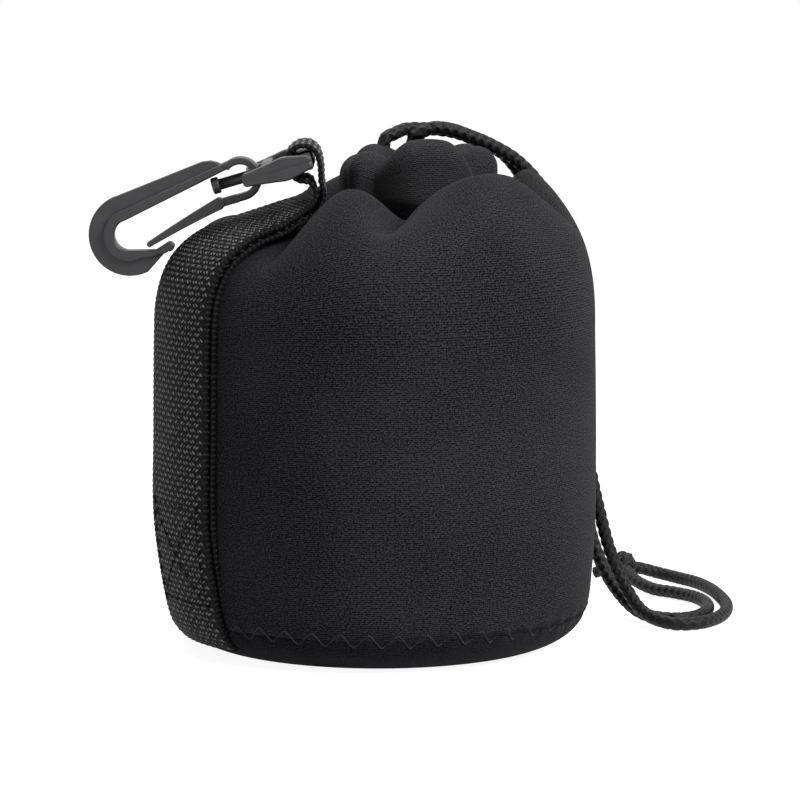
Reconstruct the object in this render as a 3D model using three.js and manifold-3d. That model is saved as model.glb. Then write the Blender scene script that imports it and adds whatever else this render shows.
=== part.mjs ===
// A drawstring lens pouch in thick knit-faced neoprene: a round base, a sleeve gathered at its
// mouth by a cord in a turned hem, a webbing belt strap up one side, and a plastic swivel snap hook.
// Millimetres, +Z up. The origin is the middle of the base, on the surface that the pouch stands on.
import * as THREE from 'three';
import { mergeVertices } from 'three/addons/utils/BufferGeometryUtils.js';
import Module from 'manifold-3d';

const wasm = await Module();
wasm.setup();

// Driving dimensions: body
const WALL_RADIUS = 39.5;          // outside of the sleeve
const NEOPRENE = 4.0;              // thickness of the sleeve and base
const WALL_BULGE = 0.3;            // how far the sleeve swells between base and shoulder
const SEAM_HEIGHT = 6.4;           // butt seam between base and sleeve, above the rounded edge
const BASE_EDGE_WIDTH = 10.8;      // rounded lower edge, inwards
const BASE_EDGE_HEIGHT = 8.0;      // rounded lower edge, upwards
const FOOT_TAPER = 1.2;            // how far the body narrows towards its foot
const TAPER_HEIGHT = 24.0;         // height where it begins to narrow
const SHOULDER_START = 58.0;       // height where the sleeve begins to draw in
const CREST_HEIGHT = 88.5;         // top of the fullest shoulder lobe
const VALLEY_HEIGHT = 77.0;        // floor of a fold between two lobes
const SHOULDER_POWER = 2.6;        // squareness of the shoulder's curve
const GATHER_DEPTH = 14.0;         // how far out from the neck the folds reach into the shoulder
const SEWN_GAP = 0.3;              // between two sewn pieces

// Driving dimensions: neck and turned hem
const NECK_RADIUS = 14.5;
const NECK_HEIGHT = 78.5;
const NECK_DIP_RADIUS = 26.0;      // where the lobes start to dive into the neck
const NECK_OFFSET = new THREE.Vector2(5.2, -3.0);
const HEM_RADIUS = 10.4;           // middle of the cord channel
const HEM_WAVE = 1.4;              // how far the gathers push the hem in and out
const HEM_HEIGHT = 11.2;
const HEM_RISE = 1.0;              // how far the gathers lift and drop the hem's edge
const HEM_LAYER = 1.9;
const HEM_SLIT = 0.3;              // half of the gap where the turned edge meets the sleeve

// Driving dimensions: drawcord
const CORD_DIAMETER = 2.5;
const CORD_CLEARANCE = 0.75;       // around the cord in its channel and eyelets
const CORD_SIDES = 8;
const LONG_END_EYELET = 58;        // degrees, where one cord end leaves the hem
const SHORT_END_EYELET = 86;       // degrees, where the other one does
const KNOT_RADIUS = 3.4;

// Driving dimensions: belt strap
const STRAP_WIDTH = 20.0;
const STRAP_THICKNESS = 1.1;
const STRAP_LAYER_GAP = 0.3;
const STRAP_FOOT = 3.0;            // height on the base's rounded edge where both layers end
const STRAP_FOLD_RADIUS = 3.1;     // middle of the webbing from the middle of the loop's bar

// Driving dimensions: swivel loop and hook, measured along the swivel axis from the loop's bar
const BAR_RISE = 10.4;             // loop's bar above the shoulder under the strap's fold
const FOLD_STEP = 1.5;             // how far the shoulder rises from its floor to under the fold
const BAR_BESIDE_HEM = 7.8;        // loop's bar from the hem's outer face
const HOOK_DROP = 16.4;            // degrees that the hook hangs below level
const HOOK_HEADING = 150;          // degrees in plan, the way that the hook points
const BAR_HALF = 1.5;
const LOOP_LIP = 0.2;              // how far the loop's end stands past the bar's half thickness
const LOOP_SIDE = 2.8;             // thickness of the loop's side arms
const LOOP_SLOT_CLEARANCE = 0.6;   // beside the webbing
const LOOP_SLOT_LENGTH = 4.1;
const LOOP_END_WALL = 2.1;
const LOOP_EAR = 3.4;              // how far the corners stand past the end wall
const LOOP_EAR_INSET = 5.2;        // half of the gap between the corners
const LOOP_HALF_THICKNESS = 2.2;
const LOOP_NECK_HALF = 1.75;       // half of its thickness at the end wall
const LOOP_TIP_HALF = 1.15;
const LOOP_BEVEL = 0.4;
const STEM_RADIUS = 1.0;
const STEM_HEAD_RADIUS = 1.5;
const STEM_HEAD_LENGTH = 1.4;
const SWIVEL_CLEARANCE = 0.35;
const BOW_RADIUS = 3.9;            // outside of the hook's rounded base
const BOW_WALL = 1.3;
const HOOK_RIB_WIDTH = 4.4;        // across the hook's flat, at the raised rib
const HOOK_FLANGE_WIDTH = 2.2;
const HOOK_LENGTH = 22.0;          // from the middle of the bow to the middle of the round end
const HOOK_END_DROP = 4.1;         // middle of the round end below the swivel axis
const THROAT_RADIUS = 2.75;
const RIB_RADIUS = 4.7;
const RIB_BEVEL = 0.35;
const FLANGE_RADIUS = 7.4;
const FLANGE_BEVEL = 0.3;
const FLANGE_RISE = 2.2;           // how far the flange stands above the rib along the spine
const NOSE_REACH = 6.3;            // nose back from the middle of the round end
const NOSE_DROP = 4.0;
const NOSE_RADIUS = 0.85;
const NOSE_BELLY = 1.0;            // how far the nose's underside hangs below its tip
const GATE_WIDTH = 3.6;
const GATE_BEVEL = 0.2;
const GATE_ROOT_RADIUS = 1.1;
const GATE_ROOT_ALONG = 5.0;       // gate's root from the middle of the bow
const GATE_TIP_RADIUS = 0.55;
const GATE_TIP_BACK = 3.0;         // gate's tip back from the middle of the round end
const GATE_TIP_DROP = 2.6;

const degrees = THREE.MathUtils.degToRad;
const lerp = THREE.MathUtils.lerp;
const smoothstep = THREE.MathUtils.smoothstep;

const finishes = {
  neoprene: { color: 0x29292d, roughness: 0.95, metalness: 0 },
  base: { color: 0x1c1d21, roughness: 0.95, metalness: 0 },
  webbing: { color: 0x2a2a2c, roughness: 0.85, metalness: 0 },
  cord: { color: 0x161617, roughness: 0.8, metalness: 0 },
  plastic: { color: 0x55565a, roughness: 0.5, metalness: 0 },
};

const pouch = new THREE.Group();

function addPart(parent, name, geometry, finish) {
  const mesh = new THREE.Mesh(geometry, new THREE.MeshStandardMaterial(finishes[finish]));
  mesh.name = name;
  parent.add(mesh);
  return mesh;
}

// Solids and their joins and cuts

function toSolid(geometry) {
  const bare = geometry.clone();
  bare.deleteAttribute('normal');
  bare.deleteAttribute('uv');
  const merged = mergeVertices(bare, 1e-4);
  const vertProperties = new Float32Array(merged.attributes.position.array);
  const triVerts = new Uint32Array(merged.index.array);
  return new wasm.Manifold(new wasm.Mesh({ numProp: 3, vertProperties, triVerts }));
}

function toGeometry(solid) {
  const mesh = solid.getMesh();
  const geometry = new THREE.BufferGeometry();
  geometry.setAttribute('position', new THREE.BufferAttribute(new Float32Array(mesh.vertProperties), 3));
  geometry.setIndex(new THREE.BufferAttribute(new Uint32Array(mesh.triVerts), 1));
  geometry.computeVertexNormals();
  return geometry;
}

function fromTriangles(points, triangles) {
  const geometry = new THREE.BufferGeometry().setFromPoints(points);
  geometry.setIndex(triangles);
  geometry.computeVertexNormals();
  return geometry;
}

// A ring-shaped skin: rows of points, each row closed round the axis, the last row joined to the first.
function ringSkin(rows) {
  const around = rows[0].length;
  const triangles = [];
  rows.forEach((row, i) => {
    const next = (i + 1) % rows.length;
    row.forEach((_, j) => {
      const beside = (j + 1) % around;
      const corner = [i * around + j, i * around + beside, next * around + beside, next * around + j];
      triangles.push(corner[0], corner[1], corner[2], corner[0], corner[2], corner[3]);
    });
  });
  return fromTriangles(rows.flat(), triangles);
}

// A flat band: closed sections along a path, each with as many points under as over, capped at both ends.
function bandSkin(sections) {
  const round = sections[0].length;
  const half = round / 2;
  const last = (sections.length - 1) * round;
  const triangles = [];
  for (let i = 0; i < sections.length - 1; i += 1) {
    for (let j = 0; j < round; j += 1) {
      const near = i * round;
      const beside = (j + 1) % round;
      triangles.push(near + j, near + beside, near + round + beside);
      triangles.push(near + j, near + round + beside, near + round + j);
    }
  }
  for (let j = 0; j < half - 1; j += 1) {
    const over = round - 1 - j;
    triangles.push(j, over, over - 1, j, over - 1, j + 1);
    triangles.push(last + j, last + over - 1, last + over, last + j, last + j + 1, last + over - 1);
  }
  return fromTriangles(sections.flat(), triangles);
}

// Gathers: each fold is an angle in degrees with its own height, and the lobe that follows it has a height.
// A height of 0 is the valley floor and 1 the fullest crest. The strap lies in the flat first stretch.
const FOLDS = [
  { angle: 150, fold: 0, lobe: 0 },
  { angle: 204, fold: -0.2, lobe: 0.78 },
  { angle: 240, fold: 0.05, lobe: 1 },
  { angle: 322, fold: 0.26, lobe: 0.93 },
  { angle: 366, fold: 0.19, lobe: 1 },
  { angle: 412, fold: 0.12, lobe: 0.8 },
  { angle: 460, fold: -0.1, lobe: 0.1 },
];
const FULL_TURN = 360;
const LOBE_ROUNDNESS = 0.55;

// The fold before an angle in degrees, the fold after it, and the phase from 0 to 1 between them.
function gatherAt(folds, angle) {
  const first = folds[0].angle;
  const turned = ((angle - first) % FULL_TURN + FULL_TURN) % FULL_TURN + first;
  const index = folds.findLastIndex((fold) => fold.angle <= turned);
  const before = folds[index];
  const after = folds[(index + 1) % folds.length];
  const end = index + 1 < folds.length ? after.angle : first + FULL_TURN;
  return { before, after, phase: (turned - before.angle) / (end - before.angle) };
}

// Away from the neck the shoulder is even all round, but flat where the strap lies.
const STRAP_ANGLE = 180;
const FLAT_REACH = 22;             // degrees each side of the strap
const FULL_REACH = 60;
const SHOULDER_FULLNESS = 0.73;

function shoulderAt(angle) {
  const half = FULL_TURN / 2;
  const fromStrap = Math.abs(((angle - STRAP_ANGLE + half) % FULL_TURN + FULL_TURN) % FULL_TURN - half);
  return SHOULDER_FULLNESS * smoothstep(fromStrap, FLAT_REACH, FULL_REACH);
}

function lobeAt(angle, radius) {
  const { before, after, phase } = gatherAt(FOLDS, angle);
  const crease = lerp(before.fold, after.fold, phase);
  const gathered = lerp(crease, before.lobe, Math.sin(Math.PI * phase) ** LOBE_ROUNDNESS);
  return lerp(shoulderAt(angle), gathered, smoothstep(WALL_RADIUS - radius, 0, GATHER_DEPTH));
}

// Sleeve: the outer profile at one angle, as radius and height, from the base seam to the neck.
// It is made in two pieces that meet where the shoulder starts, the straight wall and the gathered shoulder.
const WALL_STEPS = 3;
const SHOULDER_STEPS = 11;
const AROUND = 64;

// Outside of the rounded lower edge at a height, which the base and the foot of the sleeve share
function edgeRadius(height) {
  const below = Math.max(0, 1 - height / BASE_EDGE_HEIGHT);
  const taper = FOOT_TAPER * (1 - smoothstep(height, 0, TAPER_HEIGHT));
  return WALL_RADIUS - taper - BASE_EDGE_WIDTH * (1 - Math.sqrt(1 - below * below));
}

function wallProfile() {
  const foot = SEAM_HEIGHT + SEWN_GAP;
  const profile = [];
  for (let i = 0; i <= WALL_STEPS; i += 1) {
    const t = i / WALL_STEPS;
    const height = lerp(foot, SHOULDER_START - SEWN_GAP, t);
    profile.push(new THREE.Vector2(edgeRadius(height) + WALL_BULGE * Math.sin(Math.PI * t), height));
  }
  return profile;
}

function shoulderProfile(angle) {
  const profile = [];
  for (let i = 0; i <= SHOULDER_STEPS; i += 1) {
    const turn = (Math.PI / 2) * (i / SHOULDER_STEPS);
    const inward = Math.max(0, Math.cos(turn)) ** (2 / SHOULDER_POWER);
    const upward = Math.sin(turn) ** (2 / SHOULDER_POWER);
    const radius = lerp(NECK_RADIUS, WALL_RADIUS, inward);
    const top = lerp(VALLEY_HEIGHT, CREST_HEIGHT, lobeAt(angle, radius));
    const height = lerp(SHOULDER_START, top, upward);
    const dip = 1 - smoothstep(radius, NECK_RADIUS, NECK_DIP_RADIUS);
    profile.push(new THREE.Vector2(radius, lerp(height, NECK_HEIGHT, dip)));
  }
  return profile;
}

// The same profile moved square to itself, outwards for a positive distance.
function offsetProfile(profile, distance) {
  return profile.map((point, i) => {
    const before = profile[Math.max(0, i - 1)];
    const after = profile[Math.min(profile.length - 1, i + 1)];
    const along = after.clone().sub(before).normalize();
    return new THREE.Vector2(point.x + along.y * distance, point.y - along.x * distance);
  });
}

// The sleeve's middle moves sideways as it draws in, because the neck is off centre.
const NECK_LEAN = 1.3;

function drawnPoint(angle, radius, height, drawnRadius = radius) {
  const drawn = THREE.MathUtils.clamp((WALL_RADIUS - drawnRadius) / (WALL_RADIUS - NECK_RADIUS), 0, 1);
  const shift = drawn ** NECK_LEAN;
  const turn = degrees(angle);
  return new THREE.Vector3(
    NECK_OFFSET.x * shift + radius * Math.cos(turn),
    NECK_OFFSET.y * shift + radius * Math.sin(turn),
    height,
  );
}

// A shell of one thickness inside a profile that is given for each angle.
function shell(profileAt) {
  const columns = [];
  for (let j = 0; j < AROUND; j += 1) {
    const angle = (j / AROUND) * FULL_TURN;
    const outer = profileAt(angle);
    const inner = offsetProfile(outer, -NEOPRENE);
    const column = outer.map((p) => drawnPoint(angle, p.x, p.y));
    inner.forEach((p, i) => {
      column.splice(outer.length, 0, drawnPoint(angle, p.x, p.y, outer[i].x));
    });
    columns.push(column);
  }
  const rows = columns[0].map((_, i) => columns.map((column) => column[i]));
  return ringSkin(rows);
}

// Base: a shallow cup with a rounded edge, up to the butt seam
const BASE_AROUND = 44;
const BASE_EDGE_STEPS = 4;

function basePanel() {
  const seam = Math.acos(1 - SEAM_HEIGHT / BASE_EDGE_HEIGHT);
  const outer = [new THREE.Vector2(edgeRadius(0) - NEOPRENE, 0)];
  for (let i = 0; i <= BASE_EDGE_STEPS; i += 1) {
    const height = BASE_EDGE_HEIGHT * (1 - Math.cos(seam * (i / BASE_EDGE_STEPS)));
    outer.push(new THREE.Vector2(edgeRadius(height), height));
  }
  const inside = offsetProfile(outer, -NEOPRENE);
  inside[inside.length - 1].set(outer[outer.length - 1].x - NEOPRENE, SEAM_HEIGHT);
  const profile = [new THREE.Vector2(0, 0), ...outer, ...inside.reverse(), new THREE.Vector2(0, NEOPRENE)];
  return new THREE.LatheGeometry(profile, BASE_AROUND).rotateX(Math.PI / 2);
}

// Hem: a strip turned over the cord, its fold on top and its two edges together at the neck
const HEM_AROUND = 60;
const HEM_FOLD_STEPS = 3;
const HEM_BELLY = 3.4;             // height where the channel is widest
const CHANNEL_HALF = CORD_DIAMETER / 2 + CORD_CLEARANCE;
const CORD_LEVEL = 5.4;            // middle of the cord above the hem's foot

// The hem has folds of its own. Behind the strap it stays pressed in.
const HEM_FOLDS = [
  { angle: 150, lobe: 0 },
  { angle: 178, lobe: 0.7 },
  { angle: 208, lobe: 1 },
  { angle: 299, lobe: 1 },
  { angle: 342, lobe: 1 },
  { angle: 386, lobe: 1 },
  { angle: 432, lobe: 0.9 },
  { angle: 480, lobe: 0.2 },
];

const HEM_FOLD_SHARPNESS = 1.1;    // 2 for an even wave, less for narrow creases

// From 1, pressed in at a fold, to -1, swelled out over a full lobe.
function hemWave(angle) {
  const { before, phase } = gatherAt(HEM_FOLDS, angle);
  return 1 - 2 * before.lobe * Math.sin(Math.PI * phase) ** HEM_FOLD_SHARPNESS;
}

function hemRadius(angle) {
  return HEM_RADIUS - HEM_WAVE * hemWave(angle);
}

function hemTop(angle) {
  return HEM_HEIGHT - HEM_RISE * hemWave(angle);
}

function hemPoint(angle, across, height) {
  const radius = hemRadius(angle) + across;
  const turn = degrees(angle);
  const foot = NECK_HEIGHT + SEWN_GAP;
  return new THREE.Vector3(
    NECK_OFFSET.x + radius * Math.cos(turn),
    NECK_OFFSET.y + radius * Math.sin(turn),
    foot + height,
  );
}

function hemLayer(halfWidth, footHalf, foldHeight) {
  const side = [new THREE.Vector2(footHalf, 0), new THREE.Vector2(halfWidth, HEM_BELLY)];
  const fold = [];
  for (let i = 0; i <= HEM_FOLD_STEPS * 2; i += 1) {
    const turn = (Math.PI / 2) * (i / HEM_FOLD_STEPS);
    fold.push(new THREE.Vector2(halfWidth * Math.cos(turn), foldHeight + halfWidth * Math.sin(turn)));
  }
  const mirrored = side.map((p) => new THREE.Vector2(-p.x, p.y)).reverse();
  return [...side, ...fold, ...mirrored];
}

function mouthHem() {
  const outerHalf = CHANNEL_HALF + HEM_LAYER;
  const columns = [];
  for (let j = 0; j < HEM_AROUND; j += 1) {
    const angle = (j / HEM_AROUND) * FULL_TURN;
    const foldHeight = hemTop(angle) - outerHalf;
    const outer = hemLayer(outerHalf, HEM_SLIT + HEM_LAYER, foldHeight);
    const inner = hemLayer(CHANNEL_HALF, HEM_SLIT, foldHeight).reverse();
    columns.push([...outer, ...inner].map((p) => hemPoint(angle, p.x, p.y)));
  }
  const rows = columns[0].map((_, i) => columns.map((column) => column[i]));
  let hem = toSolid(ringSkin(rows));
  [LONG_END_EYELET, SHORT_END_EYELET].forEach((angle) => {
    const eyelet = new THREE.CylinderGeometry(CHANNEL_HALF, CHANNEL_HALF, HEM_HEIGHT, CORD_SIDES * 2);
    const top = hemPoint(angle, 0, hemTop(angle));
    eyelet.rotateX(Math.PI / 2).translate(top.x, top.y, top.z);
    hem = hem.subtract(toSolid(eyelet));
  });
  return toGeometry(hem);
}

// Drawcord: a tube of constant section along a smooth route
function cordTube(points, steps) {
  const section = new THREE.Shape();
  for (let i = 0; i < CORD_SIDES; i += 1) {
    const turn = (i / CORD_SIDES) * 2 * Math.PI;
    const corner = [Math.cos(turn), Math.sin(turn)].map((v) => (v * CORD_DIAMETER) / 2);
    if (i === 0) section.moveTo(...corner);
    else section.lineTo(...corner);
  }
  section.closePath();
  const extrudePath = new THREE.CatmullRomCurve3(points, false, 'centripetal');
  return new THREE.ExtrudeGeometry(section, { steps, extrudePath, bevelEnabled: false });
}

const HEM_CORD_STEPS = 42;
const HEM_CORD_END = 17;           // degrees that the hidden cord stops short of its eyelets

function hemCord() {
  const start = SHORT_END_EYELET + HEM_CORD_END;
  const end = LONG_END_EYELET - HEM_CORD_END + FULL_TURN;
  const points = [];
  for (let i = 0; i <= HEM_CORD_STEPS; i += 1) {
    points.push(hemPoint(lerp(start, end, i / HEM_CORD_STEPS), 0, CORD_LEVEL));
  }
  return cordTube(points, HEM_CORD_STEPS);
}

// The free cord ends lie behind the pouch, to one side. Their points are given as the distance across,
// the distance behind the pouch's axis, and the height, in a frame turned by this angle in plan.
const DRAPE_TURN = degrees(-30);

function draped([across, behind, height]) {
  return new THREE.Vector3(across, behind, height).applyAxisAngle(new THREE.Vector3(0, 0, 1), DRAPE_TURN);
}

const LONG_END_ROUTE = [
  [7.3, 10.4, 92.4], [9.6, 10.6, 93.6], [13.0, 11.4, 93.4], [17.0, 12.8, 92.0], [21.0, 14.8, 90.2],
  [26.0, 17.6, 87.0], [30.6, 19.9, 81.8], [33.6, 21.4, 75.0], [35.0, 22.2, 68.0], [35.6, 22.6, 60.0],
  [36.2, 22.4, 50.0], [37.6, 21.4, 40.0], [39.6, 20.2, 30.0], [41.6, 19.4, 21.0], [43.8, 18.8, 13.0],
  [46.4, 17.2, 7.0], [49.0, 13.8, 3.2], [52.0, 9.6, 1.8], [55.4, 7.4, 1.4], [59.2, 8.0, 1.4],
  [62.8, 12.2, 1.4], [65.4, 19.0, 1.4], [66.6, 28.0, 1.4], [66.2, 37.0, 1.4], [65.0, 46.0, 1.4],
  [62.8, 53.6, 1.4], [59.6, 59.2, 1.4], [55.8, 61.6, 2.0], [51.9, 61.6, 3.0],
];
const SHORT_END_ROUTE = [
  [3.0, 10.8, 92.6], [5.8, 12.4, 94.5], [9.6, 14.0, 94.8], [14.0, 15.6, 93.6], [18.6, 17.4, 91.6],
  [23.4, 19.8, 88.6], [28.0, 23.2, 82.0], [31.2, 25.2, 75.0], [32.6, 26.2, 68.0], [33.2, 26.8, 60.0],
  [33.8, 26.8, 50.0], [35.2, 26.4, 40.0], [37.2, 26.0, 30.0], [39.2, 25.8, 21.0], [41.0, 25.2, 13.6],
  [43.4, 23.8, 8.0], [46.4, 20.8, 3.9], [49.4, 17.2, 1.8], [52.6, 14.2, 1.4], [55.8, 12.8, 1.4],
  [59.0, 14.4, 1.4], [61.4, 18.6, 1.4], [62.8, 25.0, 1.4], [62.6, 31.6, 1.4], [60.8, 37.4, 1.4],
  [57.4, 42.0, 1.4], [53.8, 46.0, 1.4], [50.8, 50.8, 2.2], [49.1, 56.3, 3.4],
];
const KNOT_CENTRE = [48.6, 60.0, 3.7];
const CORD_STEP = 5.0;             // about one ring of the tube in this length

function freeCord(eyelet, route) {
  const inside = hemPoint(eyelet, 0, CORD_LEVEL);
  const outside = hemPoint(eyelet, 0, hemTop(eyelet) + CORD_DIAMETER / 2);
  const points = [inside, outside, ...route.map(draped)];
  const length = new THREE.CatmullRomCurve3(points, false, 'centripetal').getLength();
  return cordTube(points, Math.round(length / CORD_STEP));
}

const KNOT_SEGMENTS = 14;
const KNOT_BANDS = 10;

function cordKnot() {
  const knot = new THREE.SphereGeometry(KNOT_RADIUS, KNOT_SEGMENTS, KNOT_BANDS).rotateX(Math.PI / 2);
  const centre = draped(KNOT_CENTRE);
  return knot.translate(centre.x, centre.y, centre.z);
}

// The loop's bar lies in the strap's top fold, beside the hem. The shoulder under it slopes up from its
// floor towards the neck's edge, and the bar rises with it where that edge stands high.
const FOLD_FLOOR = VALLEY_HEIGHT + FOLD_STEP;
const HEM_OUTSIDE = HEM_RADIUS - HEM_WAVE + CHANNEL_HALF + HEM_LAYER;
const BAR_CENTRE = new THREE.Vector3(
  NECK_OFFSET.x - HEM_OUTSIDE - BAR_BESIDE_HEM,
  0,
  Math.max(FOLD_FLOOR, (FOLD_FLOOR + NECK_HEIGHT) / 2) + BAR_RISE,
);

// Frame of the swivel: X along the hook, Y along the loop's bar towards the front, Z up and square to both
const heading = degrees(HOOK_HEADING);
const drop = degrees(HOOK_DROP);
const alongHook = new THREE.Vector3(
  Math.cos(heading) * Math.cos(drop),
  Math.sin(heading) * Math.cos(drop),
  -Math.sin(drop),
);
const barHeading = heading + Math.PI / 2;
const alongBar = new THREE.Vector3(Math.cos(barHeading), Math.sin(barHeading), 0);
const aboveHook = new THREE.Vector3().crossVectors(alongHook, alongBar);
const swivelFrame = new THREE.Group();
swivelFrame.position.copy(BAR_CENTRE);
swivelFrame.quaternion.setFromRotationMatrix(new THREE.Matrix4().makeBasis(alongHook, alongBar, aboveHook));
pouch.add(swivelFrame);

function inSwivelFrame(along, above, aside) {
  const point = BAR_CENTRE.clone().addScaledVector(alongHook, along);
  return point.addScaledVector(aboveHook, above).addScaledVector(alongBar, aside);
}

// Belt strap: one length of webbing, up the sleeve, round the loop's bar and down again over itself.
// Each station holds its middle point and how far the webbing has turned to face the bar, from 0 to 1.
const STRAP_LEAVES_RADIUS = 27;    // the strap lies on the sleeve down to this radius
const INNER_LAYER_OFFSET = SEWN_GAP + STRAP_THICKNESS / 2;
const OUTER_LAYER_OFFSET = INNER_LAYER_OFFSET + STRAP_THICKNESS + STRAP_LAYER_GAP;

function strapOnSleeve(offset) {
  const edge = [STRAP_FOOT, (STRAP_FOOT + SEAM_HEIGHT) / 2].map((z) => new THREE.Vector2(edgeRadius(z), z));
  const sleeve = [...wallProfile().slice(0, WALL_STEPS), ...shoulderProfile(STRAP_ANGLE)];
  const profile = offsetProfile([...edge, ...sleeve], offset);
  const stations = profile.filter((p) => p.x > STRAP_LEAVES_RADIUS).map((p) => {
    const drawnRadius = p.y < SHOULDER_START ? WALL_RADIUS : p.x;
    return drawnPoint(STRAP_ANGLE, p.x, p.y, drawnRadius).setY(0);
  });
  return stations.map((middle) => ({ middle, turned: 0, lies: 1 }));
}

// Places round the bar, in multiples of the fold's radius.
const FOLD_STATIONS = [
  { along: 2.3, above: -2.98, aside: 0.95, turned: 0.3 },
  { along: 1, above: -2.96, aside: 0.4, turned: 0.6 },
  { along: 0.05, above: -2.68, aside: 0.08, turned: 0.82 },
  { along: -0.55, above: -2.05, aside: 0, turned: 0.94 },
  { along: -0.66, above: -1.35, aside: 0, turned: 1 },
  { along: -0.86, above: -0.5, aside: 0, turned: 1 },
  { along: -0.88, above: 0.3, aside: 0, turned: 1 },
  { along: -0.6, above: 0.76, aside: 0, turned: 1 },
  { along: 0, above: 0.96, aside: 0, turned: 1 },
  { along: 0.66, above: 0.72, aside: 0, turned: 1 },
  { along: 0.95, above: 0, aside: 0, turned: 1 },
  { along: 0.6, above: -0.85, aside: 0.02, turned: 1 },
  { along: 0, above: -1.2, aside: 0.05, turned: 0.97 },
  { along: -0.12, above: -1.72, aside: 0.1, turned: 0.92 },
  { along: 0.35, above: -2.2, aside: 0.2, turned: 0.78 },
  { along: 1.5, above: -2.4, aside: 0.55, turned: 0.48 },
].map(({ along, above, aside, turned }) => {
  const place = [along, above, aside].map((v) => v * STRAP_FOLD_RADIUS);
  return { middle: inSwivelFrame(...place), turned, lies: 0 };
});

const upRun = strapOnSleeve(INNER_LAYER_OFFSET);
const downRun = strapOnSleeve(OUTER_LAYER_OFFSET).reverse();
const strapStations = [...upRun, ...FOLD_STATIONS, ...downRun];
const strapPath = new THREE.CatmullRomCurve3(strapStations.map((s) => s.middle), false, 'centripetal');
const strapTurn = new THREE.CatmullRomCurve3(
  strapStations.map((s, i) => new THREE.Vector3(s.turned, s.lies, i)), false, 'centripetal',
);
const STRAP_ACROSS = 6;
const STRAP_PER_STATION = 2;

// The closed outline of the webbing at one place on its path, curved where it lies on the round sleeve.
function strapSection(t) {
  const middle = strapPath.getPoint(t);
  const along = strapPath.getTangent(t);
  const state = strapTurn.getPoint(t);
  const facing = lerp(-Math.PI / 2, barHeading - 2 * Math.PI, THREE.MathUtils.clamp(state.x, 0, 1));
  const across = new THREE.Vector3(Math.cos(facing), Math.sin(facing), 0);
  const out = new THREE.Vector3().crossVectors(across, along).normalize();
  const standing = middle.z < SHOULDER_START ? 1 : along.z ** 2;
  const round = THREE.MathUtils.clamp(state.y, 0, 1) * standing;
  const radius = Math.max(Math.abs(middle.x), STRAP_WIDTH);
  const under = [];
  const over = [];
  for (let j = 0; j <= STRAP_ACROSS; j += 1) {
    const side = lerp(-STRAP_WIDTH / 2, STRAP_WIDTH / 2, j / STRAP_ACROSS);
    const bow = round * (radius - Math.sqrt(radius * radius - side * side));
    const place = middle.clone().addScaledVector(across, side);
    place.x += bow;
    under.push(place.clone().addScaledVector(out, STRAP_THICKNESS / 2));
    over.push(place.clone().addScaledVector(out, -STRAP_THICKNESS / 2));
  }
  return [...under, ...over.reverse()];
}

function strapRun(fromStation, toStation) {
  const last = strapStations.length - 1;
  const steps = (toStation - fromStation) * STRAP_PER_STATION;
  const trim = SEWN_GAP / strapPath.getLength();
  const sections = [];
  for (let i = 0; i <= steps; i += 1) {
    let t = (fromStation + i / STRAP_PER_STATION) / last;
    if (i === 0 && fromStation > 0) t += trim;
    sections.push(strapSection(Math.min(t, 1)));
  }
  return bandSkin(sections);
}

// Swivel loop: a flat frame with its bar in the strap's fold, and a headed stem for the hook to turn on
const SLOT_HALF = STRAP_WIDTH / 2 + LOOP_SLOT_CLEARANCE;
const LOOP_HALF = SLOT_HALF + LOOP_SIDE;
const LOOP_START = -BAR_HALF - LOOP_LIP;
const SLOT_END = BAR_HALF + LOOP_SLOT_LENGTH;
const LOOP_END = SLOT_END + LOOP_END_WALL;
const EAR_END = LOOP_END + LOOP_EAR;
const BOW_CENTRE = LOOP_END + SWIVEL_CLEARANCE + BOW_RADIUS;
const STEM_SIDES = 20;

// A flat outline in the hook's or loop's own plane, given a thickness about that plane.
function slab(shape, thickness, bevel, curveSegments = 8) {
  const depth = thickness - 2 * bevel;
  const solid = new THREE.ExtrudeGeometry(shape, {
    depth, curveSegments, bevelThickness: bevel, bevelSize: bevel, bevelOffset: -bevel, bevelSegments: 1,
  });
  return solid.translate(0, 0, -depth / 2);
}

// Turns a slab drawn along the hook and up into the plane that the hook lies in.
function upright(geometry) {
  return geometry.rotateX(Math.PI / 2);
}

function axisRod(radius, from, to) {
  const rod = new THREE.CylinderGeometry(radius, radius, to - from, STEM_SIDES);
  return rod.rotateZ(Math.PI / 2).translate((from + to) / 2, 0, 0);
}

const SIDE_SWELL = 1.5;            // pull of the curve that rounds the loop's thickness

function loopOutline() {
  const earMiddle = EAR_END - LOOP_EAR;
  const outline = new THREE.Shape();
  outline.moveTo(LOOP_START, -LOOP_HALF);
  outline.lineTo(earMiddle, -LOOP_HALF);
  outline.absarc(earMiddle, -LOOP_HALF + LOOP_EAR, LOOP_EAR, -Math.PI / 2, 0, false);
  outline.lineTo(EAR_END, -LOOP_EAR_INSET - LOOP_EAR / 2);
  outline.lineTo(LOOP_END, -LOOP_EAR_INSET);
  outline.lineTo(LOOP_END, LOOP_EAR_INSET);
  outline.lineTo(EAR_END, LOOP_EAR_INSET + LOOP_EAR / 2);
  outline.absarc(earMiddle, LOOP_HALF - LOOP_EAR, LOOP_EAR, 0, Math.PI / 2, false);
  outline.lineTo(LOOP_START, LOOP_HALF);
  outline.closePath();
  const slot = new THREE.Path();
  slot.moveTo(BAR_HALF, -SLOT_HALF);
  slot.lineTo(BAR_HALF, SLOT_HALF);
  slot.lineTo(SLOT_END, SLOT_HALF);
  slot.lineTo(SLOT_END, -SLOT_HALF);
  slot.closePath();
  outline.holes.push(slot);
  return outline;
}

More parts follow.
